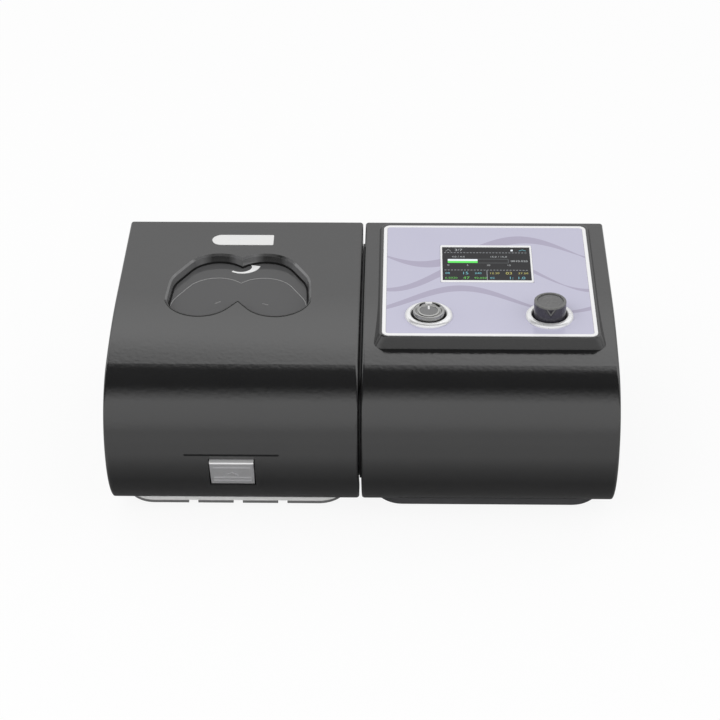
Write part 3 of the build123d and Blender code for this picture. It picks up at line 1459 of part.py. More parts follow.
# ---- latch housing, OPEN button, slide with its hook, and the two springs
pocket_radius = latch_spring_radius + spring_wire + move_gap / 2
housing_half_w = latch_spring_offset + pocket_radius + latch_wall
with BuildPart() as latch_housing:
    block(
        (humidifier_x - housing_half_w, guide_front_y, guide_z - guide_half_h - latch_wall),
        (humidifier_x + housing_half_w, guide_back_y, guide_z + guide_half_h + latch_wall),
    )
    block(
        (humidifier_x - guide_half_w, guide_front_y - 1, guide_z - guide_half_h),
        (humidifier_x + guide_half_w, guide_back_y + 1, guide_z + guide_half_h),
        Mode.SUBTRACT,
    )
    for side in (-1, 1):
        rod(
            (humidifier_x + side * latch_spring_offset, guide_front_y - 1, guide_z),
            pocket_radius,
            guide_back_y - guide_front_y - 1,
            "Y",
            Mode.SUBTRACT,
        )
        # Arms that screw the housing to the inside of the cover's front
        arm_x = humidifier_x + side * (housing_half_w + latch_arm)
        arm_root_x = arm_x - side * (latch_arm + 1)
        block(
            (arm_x - latch_arm / 2, chin_y(wall, guide_z - guide_half_h), guide_z - guide_half_h),
            (arm_x + latch_arm / 2, guide_back_y, guide_z + guide_half_h),
        )
        block(
            (min(arm_x, arm_root_x), guide_front_y + 1, guide_z - guide_half_h),
            (max(arm_x, arm_root_x), guide_back_y, guide_z + guide_half_h),
        )
save(latch_housing.part, "latch_housing")

face_top_y = front_y - button_proud
face_low_y = back_y - button_foot_depth
button_back_y = back_y - button_foot_depth + button_thickness
with BuildPart() as open_button:
    with BuildSketch(Plane.YZ.offset(humidifier_x - button_width / 2)):
        with BuildLine():
            Polyline(
                (face_top_y, button_top_z),
                (button_back_y, button_top_z),
                (button_back_y, button_low_z),
                (face_low_y, button_low_z),
                close=True,
            )
        make_face()
    extrude(amount=button_width)
    fillet(open_button.faces().sort_by(Axis.Y)[0].edges(), 0.7)
    # Raised grip ribs across the sloping face, with a chevron between them
    slope_run = face_low_y - face_top_y
    slope_length = math.hypot(slope_run, button_height)
    face = Plane(
        origin=(humidifier_x, (face_top_y + face_low_y) / 2, (button_top_z + button_low_z) / 2),
        x_dir=(1, 0, 0),
        z_dir=(0, -button_height, -slope_run),
    )
    with BuildSketch(face.offset(-rib_proud)):
        for share in rib_places:
            with Locations((0, share * slope_length)):
                SlotOverall(button_width - 4, rib_height)
    extrude(amount=2 * rib_proud)
    with BuildSketch(face.offset(-rib_proud)):
        with BuildLine():
            Polyline(
                (-chevron_width / 2, -chevron_rise / 2),
                (0, chevron_rise / 2),
                (chevron_width / 2, -chevron_rise / 2),
                (chevron_width / 2 - chevron_line, -chevron_rise / 2),
                (0, chevron_rise / 2 - 1.2),
                (1.4 - chevron_width / 2, -chevron_rise / 2),
                close=True,
            )
        make_face()
    extrude(amount=2 * rib_proud)
save(open_button.part, "open_button")
with BuildPart() as latch_slide:
    block(
        (humidifier_x - slide_width / 2, button_back_y, guide_z - slide_height / 2),
        (humidifier_x + slide_width / 2, hook_y + hook_thickness, guide_z + slide_height / 2),
    )
    block(
        (humidifier_x - slide_width / 2, hook_y, deck_z + hook_foot),
        (humidifier_x + slide_width / 2, hook_y + hook_thickness, guide_z),
    )
save(latch_slide.part, "latch_slide")
with BuildPart() as button_springs:
    latch_spring = coil(latch_spring_radius, spring_wire, latch_spring_length, latch_spring_turns)
    for side in (-1, 1):
        spring_x = humidifier_x + side * latch_spring_offset
        add(latch_spring.moved(Location((spring_x, button_back_y + spring_wire, guide_z), (-90, 0, 0))))
save(button_springs.part, "button_springs")
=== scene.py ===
import math

import bmesh
import bpy
from mathutils import Matrix, Vector


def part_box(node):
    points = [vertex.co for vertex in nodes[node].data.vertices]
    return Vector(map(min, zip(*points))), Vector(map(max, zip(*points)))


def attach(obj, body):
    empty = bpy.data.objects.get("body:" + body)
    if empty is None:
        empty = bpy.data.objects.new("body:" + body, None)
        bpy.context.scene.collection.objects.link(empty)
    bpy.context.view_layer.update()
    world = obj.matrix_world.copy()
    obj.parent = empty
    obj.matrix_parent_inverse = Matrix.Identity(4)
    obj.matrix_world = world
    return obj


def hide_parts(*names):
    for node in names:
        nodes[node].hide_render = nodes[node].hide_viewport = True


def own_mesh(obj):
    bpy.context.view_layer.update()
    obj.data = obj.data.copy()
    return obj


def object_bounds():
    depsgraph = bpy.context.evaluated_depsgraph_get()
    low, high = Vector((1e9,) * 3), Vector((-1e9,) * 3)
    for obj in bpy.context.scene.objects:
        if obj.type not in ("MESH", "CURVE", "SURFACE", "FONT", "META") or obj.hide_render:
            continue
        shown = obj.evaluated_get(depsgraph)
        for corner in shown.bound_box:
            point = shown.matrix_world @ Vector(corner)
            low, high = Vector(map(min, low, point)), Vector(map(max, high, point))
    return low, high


# A bedside CPAP machine in its studio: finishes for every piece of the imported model, and the fine
# detail that the solids leave out. Metres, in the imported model's own frame.

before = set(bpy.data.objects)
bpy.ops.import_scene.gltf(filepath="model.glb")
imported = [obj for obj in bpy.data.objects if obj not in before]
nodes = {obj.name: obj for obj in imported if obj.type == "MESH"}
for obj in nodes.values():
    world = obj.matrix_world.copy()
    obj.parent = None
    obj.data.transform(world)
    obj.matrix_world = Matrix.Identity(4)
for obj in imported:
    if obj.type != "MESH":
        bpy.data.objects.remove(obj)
cad_low, cad_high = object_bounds()
MM = 0.001


# ---------------------------------------------------------------- camera
CAMERA_PLACE = Vector((0.0263, -1.2735, 0.8886))
CAMERA_PITCH = math.radians(33.10)
CAMERA_YAW = math.radians(1.313)
CAMERA_ROLL = math.radians(0.402)
FOCAL_PIXELS = 2321.1
IMAGE_PIXELS = 720
SENSOR_MM = 36.0


def make_camera():
    """The camera at the reference view: pitched down, turned slightly to the left."""
    forward = Vector((
        -math.sin(CAMERA_YAW) * math.cos(CAMERA_PITCH),
        math.cos(CAMERA_YAW) * math.cos(CAMERA_PITCH),
        -math.sin(CAMERA_PITCH),
    ))
    level = Vector((math.cos(CAMERA_YAW), math.sin(CAMERA_YAW), 0))
    down = forward.cross(level)
    right = level * math.cos(CAMERA_ROLL) + down * math.sin(CAMERA_ROLL)
    up = level * math.sin(CAMERA_ROLL) - down * math.cos(CAMERA_ROLL)
    data = bpy.data.cameras.new("camera")
    data.sensor_width = SENSOR_MM
    data.lens = FOCAL_PIXELS / IMAGE_PIXELS * SENSOR_MM
    data.clip_end = 20
    camera = bpy.data.objects.new("camera", data)
    turn = Matrix((right, up, -forward)).transposed().to_4x4()
    camera.matrix_world = Matrix.Translation(CAMERA_PLACE) @ turn
    bpy.context.scene.collection.objects.link(camera)
    bpy.context.scene.camera = camera


# ---------------------------------------------------------------- node helpers
def add_node(tree, kind, inputs=None, **settings):
    """A shader node with its settings, and its inputs linked or set."""
    made = tree.nodes.new(kind)
    for name, value in settings.items():
        setattr(made, name, value)
    for key, value in (inputs or {}).items():
        if isinstance(value, bpy.types.NodeSocket):
            tree.links.new(value, made.inputs[key])
        else:
            made.inputs[key].default_value = value
    return made


def math_node(tree, operation, first, second=0.0, third=0.0, clamp=False):
    """The result of one Math node."""
    made = add_node(
        tree, "ShaderNodeMath", {0: first, 1: second, 2: third},
        operation=operation, use_clamp=clamp,
    )
    return made.outputs[0]


def product(tree, first, second):
    """One value times another."""
    return math_node(tree, "MULTIPLY", first, second)


def distance_from(tree, value, middle):
    """How far a value is from a middle, to either side."""
    return math_node(tree, "ABSOLUTE", math_node(tree, "SUBTRACT", value, middle))


def mix_colour(tree, share, first, second):
    """A colour between two, by a share from 0 to 1."""
    made = add_node(tree, "ShaderNodeMix", {0: share, 6: first, 7: second}, data_type="RGBA")
    return made.outputs[2]


def split_vector(tree, vector):
    """The three parts of a vector."""
    return add_node(tree, "ShaderNodeSeparateXYZ", {0: vector}).outputs


def place(tree):
    """Object coordinates, in metres."""
    return add_node(tree, "ShaderNodeTexCoord").outputs["Object"]


def noise(tree, scale, detail=2.0, stretch=(1, 1, 1)):
    """Noise from 0 to 1 with so many waves to the metre, stretched along the axes."""
    spot = add_node(tree, "ShaderNodeMapping", {"Vector": place(tree), "Scale": stretch})
    made = add_node(
        tree, "ShaderNodeTexNoise", {"Vector": spot.outputs[0], "Scale": scale, "Detail": detail}
    )
    return made.outputs["Fac"]


def spread(tree, value, low, high):
    """A value from 0 to 1 spread over another range."""
    made = add_node(tree, "ShaderNodeMapRange", {"Value": value, "To Min": low, "To Max": high})
    return made.outputs["Result"]


def start_material(name):
    """A material with its tree and its Principled shader."""
    made = bpy.data.materials.new(name)
    made.use_nodes = True
    return made, made.node_tree, made.node_tree.nodes["Principled BSDF"]


def set_relief(tree, shader, height, depth, strength=1.0):
    """Relief of a depth in metres, from a height between 0 and 1."""
    bump = add_node(
        tree, "ShaderNodeBump", {"Height": height, "Strength": strength, "Distance": depth}
    )
    tree.links.new(bump.outputs[0], shader.inputs["Normal"])


def set_plain(material, name, value):
    """One plain input of a material's shader."""
    material.node_tree.nodes["Principled BSDF"].inputs[name].default_value = value


def grade(colour, factor):
    """A colour made lighter or darker by a factor, with full alpha."""
    return tuple(min(1.0, c * factor) for c in colour) + (1.0,)


def dress(node_names, material):
    """Give CAD nodes a material in place of their own."""
    for name in node_names.split():
        slots = nodes[name].data.materials
        slots.clear()
        slots.append(material)


# ---------------------------------------------------------------- materials
def moulded(name, colour, rough, grain=1600, depth=0.03, tint=0.08, ior=1.5):
    """Moulded plastic: a fine spark-eroded grain in relief, gloss and tone."""
    material, tree, shader = start_material(name)
    coarse = noise(tree, grain, 3.0)
    broad = noise(tree, 45, 2.0)
    tree.links.new(
        mix_colour(tree, broad, grade(colour, 1 - tint), grade(colour, 1 + tint)),
        shader.inputs["Base Color"],
    )
    tree.links.new(spread(tree, coarse, rough * 0.8, rough * 1.2), shader.inputs["Roughness"])
    set_relief(tree, shader, coarse, depth * MM)
    shader.inputs["IOR"].default_value = ior
    return material


def metal(name, colour, rough, grain=400, stretch=(1, 1, 1), depth=0.004):
    """Metal with fine streaks in its gloss and relief."""
    material, tree, shader = start_material(name)
    streak = noise(tree, grain, 3.0, stretch)
    tone = mix_colour(tree, streak, grade(colour, 0.93), grade(colour, 1.05))
    tree.links.new(tone, shader.inputs["Base Color"])
    tree.links.new(spread(tree, streak, rough * 0.75, rough * 1.25), shader.inputs["Roughness"])
    set_relief(tree, shader, streak, depth * MM)
    shader.inputs["Metallic"].default_value = 1.0
    return material


def clear(name, colour, rough, transmission=1.0, ripple=0.004, ior=1.49):
    """Clear moulded plastic with a slight ripple and faint flow marks."""
    material, tree, shader = start_material(name)
    flow = noise(tree, 60, 2.0, (1, 0.4, 1))
    tone = mix_colour(tree, flow, grade(colour, 0.97), grade(colour, 1.0))
    tree.links.new(tone, shader.inputs["Base Color"])
    tree.links.new(spread(tree, flow, rough * 0.7, rough * 1.3), shader.inputs["Roughness"])
    set_relief(tree, shader, flow, ripple * MM)
    shader.inputs["Transmission Weight"].default_value = transmission
    shader.inputs["IOR"].default_value = ior
    return material


def glowing(name, colour, strength=1.0):
    """A lit element of the display, with the pitch of its pixels."""
    material, tree, shader = start_material(name)
    pixel = noise(tree, 9000, 0.0)
    tone = mix_colour(tree, pixel, grade(colour, 0.9), grade(colour, 1.05))
    tree.links.new(tone, shader.inputs["Emission Color"])
    shader.inputs["Base Color"].default_value = grade(colour, 0.1)
    shader.inputs["Emission Strength"].default_value = strength
    shader.inputs["Roughness"].default_value = 0.5
    return material


# The well's wall: a painted sheen paler than the body, with painted dark reflections at the back of
# each lobe
WELL_REACH = 4 * MM
WELL_PAINTED_SHEEN = (0.13, 0.13, 0.132, 1)
WELL_PAINTED_DARK_REFLECTION = (0.012, 0.012, 0.012, 1)
LOBE_BACKS = (-15 * MM, 19.5 * MM)
LOBE_FADE = 6 * MM
LOBE_SPREAD = 1.9


def paint_well_sheen_and_reflections(material):
    """A paler painted sheen on the wall round the humidifier's window, with painted dark
    reflections at the back of each lobe.
    """
    tree = material.node_tree
    shader = tree.nodes["Principled BSDF"]
    low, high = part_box("cover_window")
    middle = (low + high) / 2
    split = split_vector(tree, place(tree))
    inside = math_node(tree, "GREATER_THAN", split[2], low.z)
    for axis in (0, 1):
        off = distance_from(tree, split[axis], middle[axis])
        half = (high[axis] - low[axis]) / 2
        inside = product(tree, inside, math_node(tree, "LESS_THAN", off, half + WELL_REACH))
    # Only the wall and its bevel, which face sideways and a little up
    facing = add_node(tree, "ShaderNodeTexCoord").outputs["Normal"]
    tilt = split_vector(tree, facing)[2]
    inside = product(tree, inside, math_node(tree, "LESS_THAN", tilt, 0.9))
    inside = product(tree, inside, math_node(tree, "GREATER_THAN", tilt, 0.02))
    plain = shader.inputs["Base Color"].links[0].from_socket
    ring_satin_and_well_sheen = WELL_PAINTED_SHEEN
    behind = math_node(tree, "GREATER_THAN", split[1], middle.y)
    # Painted dark reflections at the back of each lobe, behind the window's middle
    for reach in LOBE_BACKS:
        off = distance_from(tree, split[0], middle.x + reach)
        painted_dark_patch = math_node(tree, "MULTIPLY_ADD", off, -1 / LOBE_FADE, LOBE_SPREAD, True)
        ring_satin_and_well_sheen = mix_colour(tree, product(tree, painted_dark_patch, behind), ring_satin_and_well_sheen, WELL_PAINTED_DARK_REFLECTION)
    tree.links.new(mix_colour(tree, inside, plain, ring_satin_and_well_sheen), shader.inputs["Base Color"])


# Each wave's middle height, swing, phase and greatest half width
AIR_WAVES = (
    (34 * MM, 16 * MM, 0.4, 5.2 * MM),
    (6 * MM, 20 * MM, 1.5, 4.0 * MM),
    (-26 * MM, 14 * MM, 2.4, 3.0 * MM),
)
WAVE_LEAST = 0.6 * MM
WAVE_EDGE = 6000


def panel_film():
    """The lavender overlay: tone-on-tone air waves under a glossy film."""
    material, tree, shader = start_material("overlay_film")
    low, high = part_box("panel_overlay")
    middle = (low + high) / 2
    width = high.x - low.x
    split = split_vector(tree, place(tree))
    across = math_node(tree, "SUBTRACT", split[0], middle.x)
    along = math_node(tree, "SUBTRACT", split[1], middle.y)
    marks = 0.0
    for height, swing, phase, waist in AIR_WAVES:
        turn = math_node(tree, "MULTIPLY_ADD", across, 2 * math.pi / width, phase)
        crest = math_node(tree, "MULTIPLY_ADD", math_node(tree, "SINE", turn), swing, height)
        reach = distance_from(tree, along, crest)
        slow = math_node(tree, "MULTIPLY_ADD", across, math.pi / width, phase / 4)
        swell = math_node(tree, "ABSOLUTE", math_node(tree, "COSINE", slow))
        half = math_node(tree, "MULTIPLY_ADD", swell, waist, WAVE_LEAST)
        depth = math_node(tree, "SUBTRACT", half, reach)
        inside = math_node(tree, "MULTIPLY_ADD", depth, WAVE_EDGE, 0.5, True)
        marks = math_node(tree, "MAXIMUM", marks, inside)
    mist = noise(tree, 25, 2.0)
    ground = mix_colour(tree, mist, (0.545, 0.535, 0.675, 1), (0.575, 0.565, 0.70, 1))
    tone = mix_colour(tree, marks, ground, (0.43, 0.40, 0.53, 1))
    tree.links.new(tone, shader.inputs["Base Color"])
    peel = noise(tree, 900, 1.0)
    tree.links.new(spread(tree, peel, 0.03, 0.06), shader.inputs["Roughness"])
    set_relief(tree, shader, peel, 0.0015 * MM)
    return material


KNOB_RING_PITCH = 2.4 * MM
KNOB_CROWN = 1.1 * MM
KNOB_CROWN_FADE = 0.5 * MM


def knob_smoke():
    """Smoked clear plastic, with turned rings on its dished top."""
    material, tree, shader = start_material("knob_smoke")
    low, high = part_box("control_knob")
    middle = (low + high) / 2
    split = split_vector(tree, place(tree))
    x = math_node(tree, "SUBTRACT", split[0], middle.x)
    y = math_node(tree, "SUBTRACT", split[1], middle.y)
    square = math_node(tree, "ADD", product(tree, x, x), product(tree, y, y))
    radius = math_node(tree, "SQRT", square)
    rings = math_node(tree, "SINE", product(tree, radius, 2 * math.pi / KNOB_RING_PITCH))
    set_relief(tree, shader, rings, 0.06 * MM, 0.7)
    haze = noise(tree, 700, 3.0)
    rise = math_node(tree, "SUBTRACT", split[2], high.z - KNOB_CROWN)
    crown = math_node(tree, "MULTIPLY_ADD", rise, 1 / KNOB_CROWN_FADE, 0.0, True)
    side = mix_colour(tree, haze, (0.022, 0.021, 0.03, 1), (0.085, 0.08, 0.10, 1))
    face = mix_colour(tree, haze, (0.13, 0.13, 0.125, 1), (0.24, 0.24, 0.235, 1))
    tree.links.new(mix_colour(tree, crown, side, face), shader.inputs["Base Color"])
    shader.inputs["Roughness"].default_value = 0.09
    shader.inputs["Transmission Weight"].default_value = 0.25
    shader.inputs["IOR"].default_value = 1.5
    return material


HEIGHT_FADE = 0.3 * MM
BUTTON_LEDGE = 1.5 * MM
PAN_SHADED_RIM = 2.4 * MM


def by_height(material, level, below, above):
    """A material that changes colour at a height, over a short fade."""
    tree = material.node_tree
    rise = math_node(tree, "SUBTRACT", split_vector(tree, place(tree))[2], level)
    share = math_node(tree, "MULTIPLY_ADD", rise, 1 / HEIGHT_FADE, 0.5, True)
    mist = noise(tree, 900, 2.0)
    lower = mix_colour(tree, mist, grade(below, 0.95), grade(below, 1.05))
    upper = mix_colour(tree, mist, grade(above, 0.97), grade(above, 1.03))
    shader = tree.nodes["Principled BSDF"]
    tree.links.new(mix_colour(tree, share, lower, upper), shader.inputs["Base Color"])
    return material


def silver_paint():
    """Brushed silver paint over plastic, with a painted highlight along the top ledge."""
    silver, painted_highlight = (0.56, 0.56, 0.57), (0.97, 0.97, 0.97)
    material = metal("silver_paint", silver, 0.34, 500, (0.15, 1, 1), 0.006)
    set_plain(material, "Metallic", 0.6)
    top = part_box("open_button")[1].z
    # The top ledge is paler: a painted highlight
    return by_height(material, top - BUTTON_LEDGE, silver, painted_highlight)


def foam(name, colour):
    """Open-cell foam: dark pores in a pale web."""
    material, tree, shader = start_material(name)
    cells = add_node(tree, "ShaderNodeTexVoronoi", {"Vector": place(tree), "Scale": 900.0})
    web = cells.outputs["Distance"]
    tone = mix_colour(tree, web, grade(colour, 0.6), grade(colour, 1.1))
    tree.links.new(tone, shader.inputs["Base Color"])
    set_relief(tree, shader, web, 0.3 * MM)
    shader.inputs["Roughness"].default_value = 0.95
    return material


def make_materials():
    """Every finish, given to the CAD nodes that carry it."""
    body = moulded("body_plastic", (0.0145, 0.0145, 0.0148), 0.13, 400, 0.085, 0.1, 1.75)
    dress("main_upper_casing humidifier_cover", body)
    # Painted sheen and painted dark reflections on the well's wall
    paint_well_sheen_and_reflections(body)
    dark = moulded("frame_plastic", (0.028, 0.028, 0.03), 0.36, 1800, 0.012)
    dress(
        "humidifier_chassis latch_housing latch_slide filter_cover card_socket "
        "heater_socket heater_connector power_inlet_socket start_button_guide start_switch_body "
        "start_switch_plunger encoder_body encoder_plunger data_card blower_housing_lower "
        "blower_housing_upper outlet_duct",
        dark,
    )
    dress("main_bottom_pan", moulded("pan_plastic", (0.075, 0.075, 0.078), 0.4, 1800, 0.012))
    pale = moulded("grey_plastic", (0.62, 0.62, 0.61), 0.34, 1400, 0.008, 0.03)
    dress("blower_impeller outlet_port", pale)
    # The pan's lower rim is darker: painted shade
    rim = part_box("humidifier_base_pan")[0].z + PAN_SHADED_RIM
    pan = moulded("base_pan_plastic", (0.62, 0.62, 0.61), 0.34, 1400, 0.008, 0.03)
    dress("humidifier_base_pan", by_height(pan, rim, (0.20, 0.20, 0.20), (0.92, 0.92, 0.91)))
    white = moulded("white_plastic", (0.93, 0.93, 0.935), 0.18, 900, 0.004, 0.015)
    dress("panel_border_frame display_bezel", white)
    dress("panel_overlay", panel_film())
    dress("display_module", moulded("screen", (0.012, 0.012, 0.014), 0.30, 2500, 0.004, 0.1, 1.3))
    dress("open_button", silver_paint())
    ring_satin_and_well_sheen = metal("ring_metal", (0.90, 0.90, 0.905), 0.30, 900)
    set_plain(ring_satin_and_well_sheen, "Metallic", 0.55)
    dress("start_button_ring knob_ring", ring_satin_and_well_sheen)
    dress("control_knob", knob_smoke())
    dress("start_button_cap", metal("start_cap", (0.42, 0.42, 0.44), 0.14, 700))
    window = clear("window_plastic", (0.125, 0.125, 0.127), 0.06, 0.3)
    set_plain(window, "Specular IOR Level", 0.12)
    dress("cover_window", window)
    dress("water_tub", clear("tub_plastic", (0.86, 0.88, 0.90), 0.06))
    dress("tub_lid tub_fill_cap", clear("lid_plastic", (0.06, 0.06, 0.062), 0.10, 0.35))
    dress(
        "main_feet humidifier_feet dock_port_seal outlet_seal tub_seal blower_mounts",
        moulded("rubber", (0.03, 0.03, 0.03), 0.75, 2200, 0.05, 0.15),
    )
    dress(
        "main_screws humidifier_screws panel_screws hinge_pins motor_shaft encoder_shaft "
        "start_button_spring button_springs tub_metal_base",
        metal("steel", (0.60, 0.60, 0.61), 0.25, 900),
    )
    dress("heater_plate blower_motor", metal("aluminium", (0.66, 0.66, 0.67), 0.35, 700))
    board = moulded("board", (0.02, 0.12, 0.05), 0.35, 700, 0.02, 0.3)
    dress("panel_board main_circuit_board", board)
    dress("inlet_filter inlet_muffler", foam("foam", (0.55, 0.56, 0.57)))
    dress("heater_film", moulded("amber_film", (0.5, 0.22, 0.03), 0.2, 600, 0.004, 0.2))
    dress("heater_insulator", moulded("insulation", (0.55, 0.52, 0.46), 0.7, 500, 0.05, 0.2))
    dress("cover_label", moulded("label", (0.82, 0.82, 0.81), 0.35, 3000, 0.004, 0.02))


# ---------------------------------------------------------------- mesh helpers
def finish_piece(mesh, name, body, material, sharp=30):
    """An object from a mesh, smoothed except at sharp edges, that rides on a body."""
    piece = bpy.data.objects.new(name, mesh)
    bpy.context.scene.collection.objects.link(piece)
    mesh.materials.append(material)
    mesh.shade_smooth()
    mesh.set_sharp_from_angle(angle=math.radians(sharp))
    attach(piece, body)
    return piece


def mesh_from(shape, name):
    """A mesh from a bmesh, which is freed."""
    mesh = bpy.data.meshes.new(name)
    shape.to_mesh(mesh)
    shape.free()
    return mesh


def mesh_of(name, data):
    """The mesh that a curve or a text makes."""
    source = bpy.data.objects.new(name + "_source", data)
    bpy.context.scene.collection.objects.link(source)
    bpy.context.view_layer.update()
    shown = source.evaluated_get(bpy.context.evaluated_depsgraph_get())
    mesh = bpy.data.meshes.new_from_object(shown)
    bpy.data.objects.remove(source)
    mesh.materials.clear()
    return mesh


def lathe(name, profile, centre, steps=96):
    """A closed mesh turned from (radius, height) points about a vertical axis."""
    shape = bmesh.new()
    rings = []
    for radius, height in profile:
        if radius == 0:
            rings.append([shape.verts.new((centre.x, centre.y, height))])
            continue
        ring = []
        for k in range(steps):
            turn = 2 * math.pi * k / steps
            x = centre.x + radius * math.cos(turn)
            y = centre.y + radius * math.sin(turn)
            ring.append(shape.verts.new((x, y, height)))
        rings.append(ring)
    for lower, upper in zip(rings, rings[1:]):
        for k in range(steps):
            nearby = (k + 1) % steps
            corners = [lower[k % len(lower)], lower[nearby % len(lower)]]
            corners += [upper[nearby % len(upper)], upper[k % len(upper)]]
            shape.faces.new(list(dict.fromkeys(corners)))
    bmesh.ops.recalc_face_normals(shape, faces=shape.faces)
    return mesh_from(shape, name)


def plate(name, outline, low_z, high_z):
    """A closed flat plate from an outline in plan."""
    shape = bmesh.new()
    lower = [shape.verts.new((x, y, low_z)) for x, y in outline]
    upper = [shape.verts.new((x, y, high_z)) for x, y in outline]
    shape.faces.new(lower)
    shape.faces.new(upper)
    for k in range(len(outline)):
        shape.faces.new([lower[k - 1], lower[k], upper[k], upper[k - 1]])
    bmesh.ops.recalc_face_normals(shape, faces=shape.faces)
    return mesh_from(shape, name)


# ---------------------------------------------------------------- start button
def make_start_cap():
    """The start button's face: a bevelled rim, a sunk ring and a lens with a standby symbol, and a
    white plate of painted highlight at the rear.
    """
    low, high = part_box("start_button_cap")
    middle = (low + high) / 2
    outer = (high.x - low.x) / 2 - 0.7 * MM
    top = high.z + 1.2 * MM
    profile = [
        (0, low.z),
        (3.0 * MM, low.z),
        (3.0 * MM, top - 2.6 * MM),
        (outer - 1.5 * MM, top - 2.6 * MM),
        (outer - 1.5 * MM, top - 6.3 * MM),
        (outer, top - 6.3 * MM),
        (outer, top - 0.5 * MM),
        (outer - 0.15 * MM, top - 0.15 * MM),
        (outer - 0.5 * MM, top),
        (outer - 1.3 * MM, top),
        (outer - 1.7 * MM, top - 0.25 * MM),
        (outer - 2.2 * MM, top - 1.0 * MM),
        (outer - 3.2 * MM, top - 1.05 * MM),
        (outer - 3.5 * MM, top - 0.75 * MM),
        (outer - 4.2 * MM, top - 0.85 * MM),
        (0, top - 0.85 * MM),
    ]
    material = metal("start_cap_metal", (0.36, 0.36, 0.355), 0.12, 700)
    cap = finish_piece(
        lathe("start_cap_face", profile, middle),
        "start_cap_face", "start_button", material,
    )
    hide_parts("start_button_cap")
    ring = [
        (5.5 * MM, top - 1.0 * MM),
        (7.1 * MM, top - 1.0 * MM),
        (6.9 * MM, top - 0.55 * MM),
        (5.8 * MM, top - 0.45 * MM),
        (5.5 * MM, top - 1.0 * MM),
    ]
    finish_piece(
        lathe("start_cap_ring", ring, middle),
        "start_cap_ring", "start_button",
        metal("start_ring_metal", (0.42, 0.42, 0.41), 0.25, 900),
    )
    lens = [
        (0, top - 1.0 * MM),
        (5.4 * MM, top - 1.0 * MM),
        (5.4 * MM, top - 0.7 * MM),
        (0, top - 0.5 * MM),
    ]
    finish_piece(
        lathe("start_cap_lens", lens, middle),
        "start_cap_lens", "start_button",
        moulded("start_lens_plastic", (0.17, 0.17, 0.172), 0.25, 900, 0.01, 0.08),
    )
    mark_and_glint = moulded("standby_mark_and_glint", (0.80, 0.80, 0.80), 0.3, 900, 0.004, 0.03)
    tick = [
        (middle.x + side * 0.6 * MM, middle.y + y * MM)
        for side, y in ((-1, 1.4), (1, 1.4), (1, 5.2), (-1, 5.2))
    ]
    finish_piece(
        plate("start_cap_tick", tick, top - 0.8 * MM, top - 0.4 * MM),
        "start_cap_tick", "start_button", mark_and_glint,
    )
    # A white plate at the rear rim: a painted highlight
    window = [
        (middle.x + side * 2.1 * MM, middle.y + y * MM)
        for side, y in ((-1, 7.4), (1, 7.4), (1, 9.2), (-1, 9.2))
    ]
    finish_piece(
        plate("start_cap_glint", window, top - 1.1 * MM, top + 0.06 * MM),
        "start_cap_glint", "start_button", mark_and_glint,
    )


# ---------------------------------------------------------------- control knob
def make_knob_pointer():
    """A raised V-shaped frame round the pointer notch at the front of the knob."""
    low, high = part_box("control_knob")
    middle = (low + high) / 2
    radius = (high.x - low.x) / 2
    top = high.z - 0.7 * MM
    outer = ((-3.1, 0.0), (0.0, -4.8), (3.1, 0.0))
    inner = ((-2.1, 0.0), (0.0, -3.3), (2.1, 0.0))
    steps = 8
    shape = bmesh.new()
    rows = []
    for start, end in ((0, 1), (1, 2)):
        for k in range(steps + 1):
            if start and not k:
                continue
            share = k / steps
            corners = []
            for line in (outer, inner):
                spot = Vector(line[start]).lerp(Vector(line[end]), share) * MM
                turn = spot.x / radius
                z = top + spot.y
                for reach in (radius - 0.9 * MM, radius + 0.12 * MM):
                    x = middle.x + reach * math.sin(turn)
                    y = middle.y - reach * math.cos(turn)
                    corners.append(shape.verts.new((x, y, z)))
            rows.append([corners[0], corners[1], corners[3], corners[2]])
    for before, after in zip(rows, rows[1:]):
        for k in range(4):
            shape.faces.new([before[k], before[(k + 1) % 4], after[(k + 1) % 4], after[k]])
    shape.faces.new(rows[0])
    shape.faces.new(list(reversed(rows[-1])))
    bmesh.ops.recalc_face_normals(shape, faces=shape.faces)
    material = moulded("knob_pointer_plastic", (0.13, 0.13, 0.128), 0.25, 900, 0.01, 0.05)
    mesh = mesh_from(shape, "knob_pointer")
    finish_piece(mesh, "knob_pointer", "knob", material, 20)


# ---------------------------------------------------------------- window of the humidifier
EDGE_SLACK = 0.02 * MM
FOOT_SHADOW_RADIUS = 0.8 * MM
FOOT_SHADOW_LIFT = 0.2 * MM
FRONT_LINE_RADIUS = 0.4 * MM
RIDGE_RADIUS = 0.2 * MM
RIDGE_LIFT = 0.05 * MM
RIDGE_MARGIN = 0.6 * MM
RIDGE_BEHIND = -19.5 * MM
RIDGE_BEFORE = 20 * MM
# A crescent of painted glare in the notch at the window's back
GLARE_BEHIND = 47.5 * MM
GLARE_RADIUS = 11.7 * MM
GLARE_START = -127
GLARE_SWEEP = 115
GLARE_THIN = 1.3 * MM
GLARE_GROWTH = 4.9 * MM
GLARE_STEPS = 32
# Where the ridge's two front lobes glint, from the window's middle to the right
GLINTS = (("left", -15.5 * MM, -10.5 * MM), ("right", 14.5 * MM, 20.0 * MM))


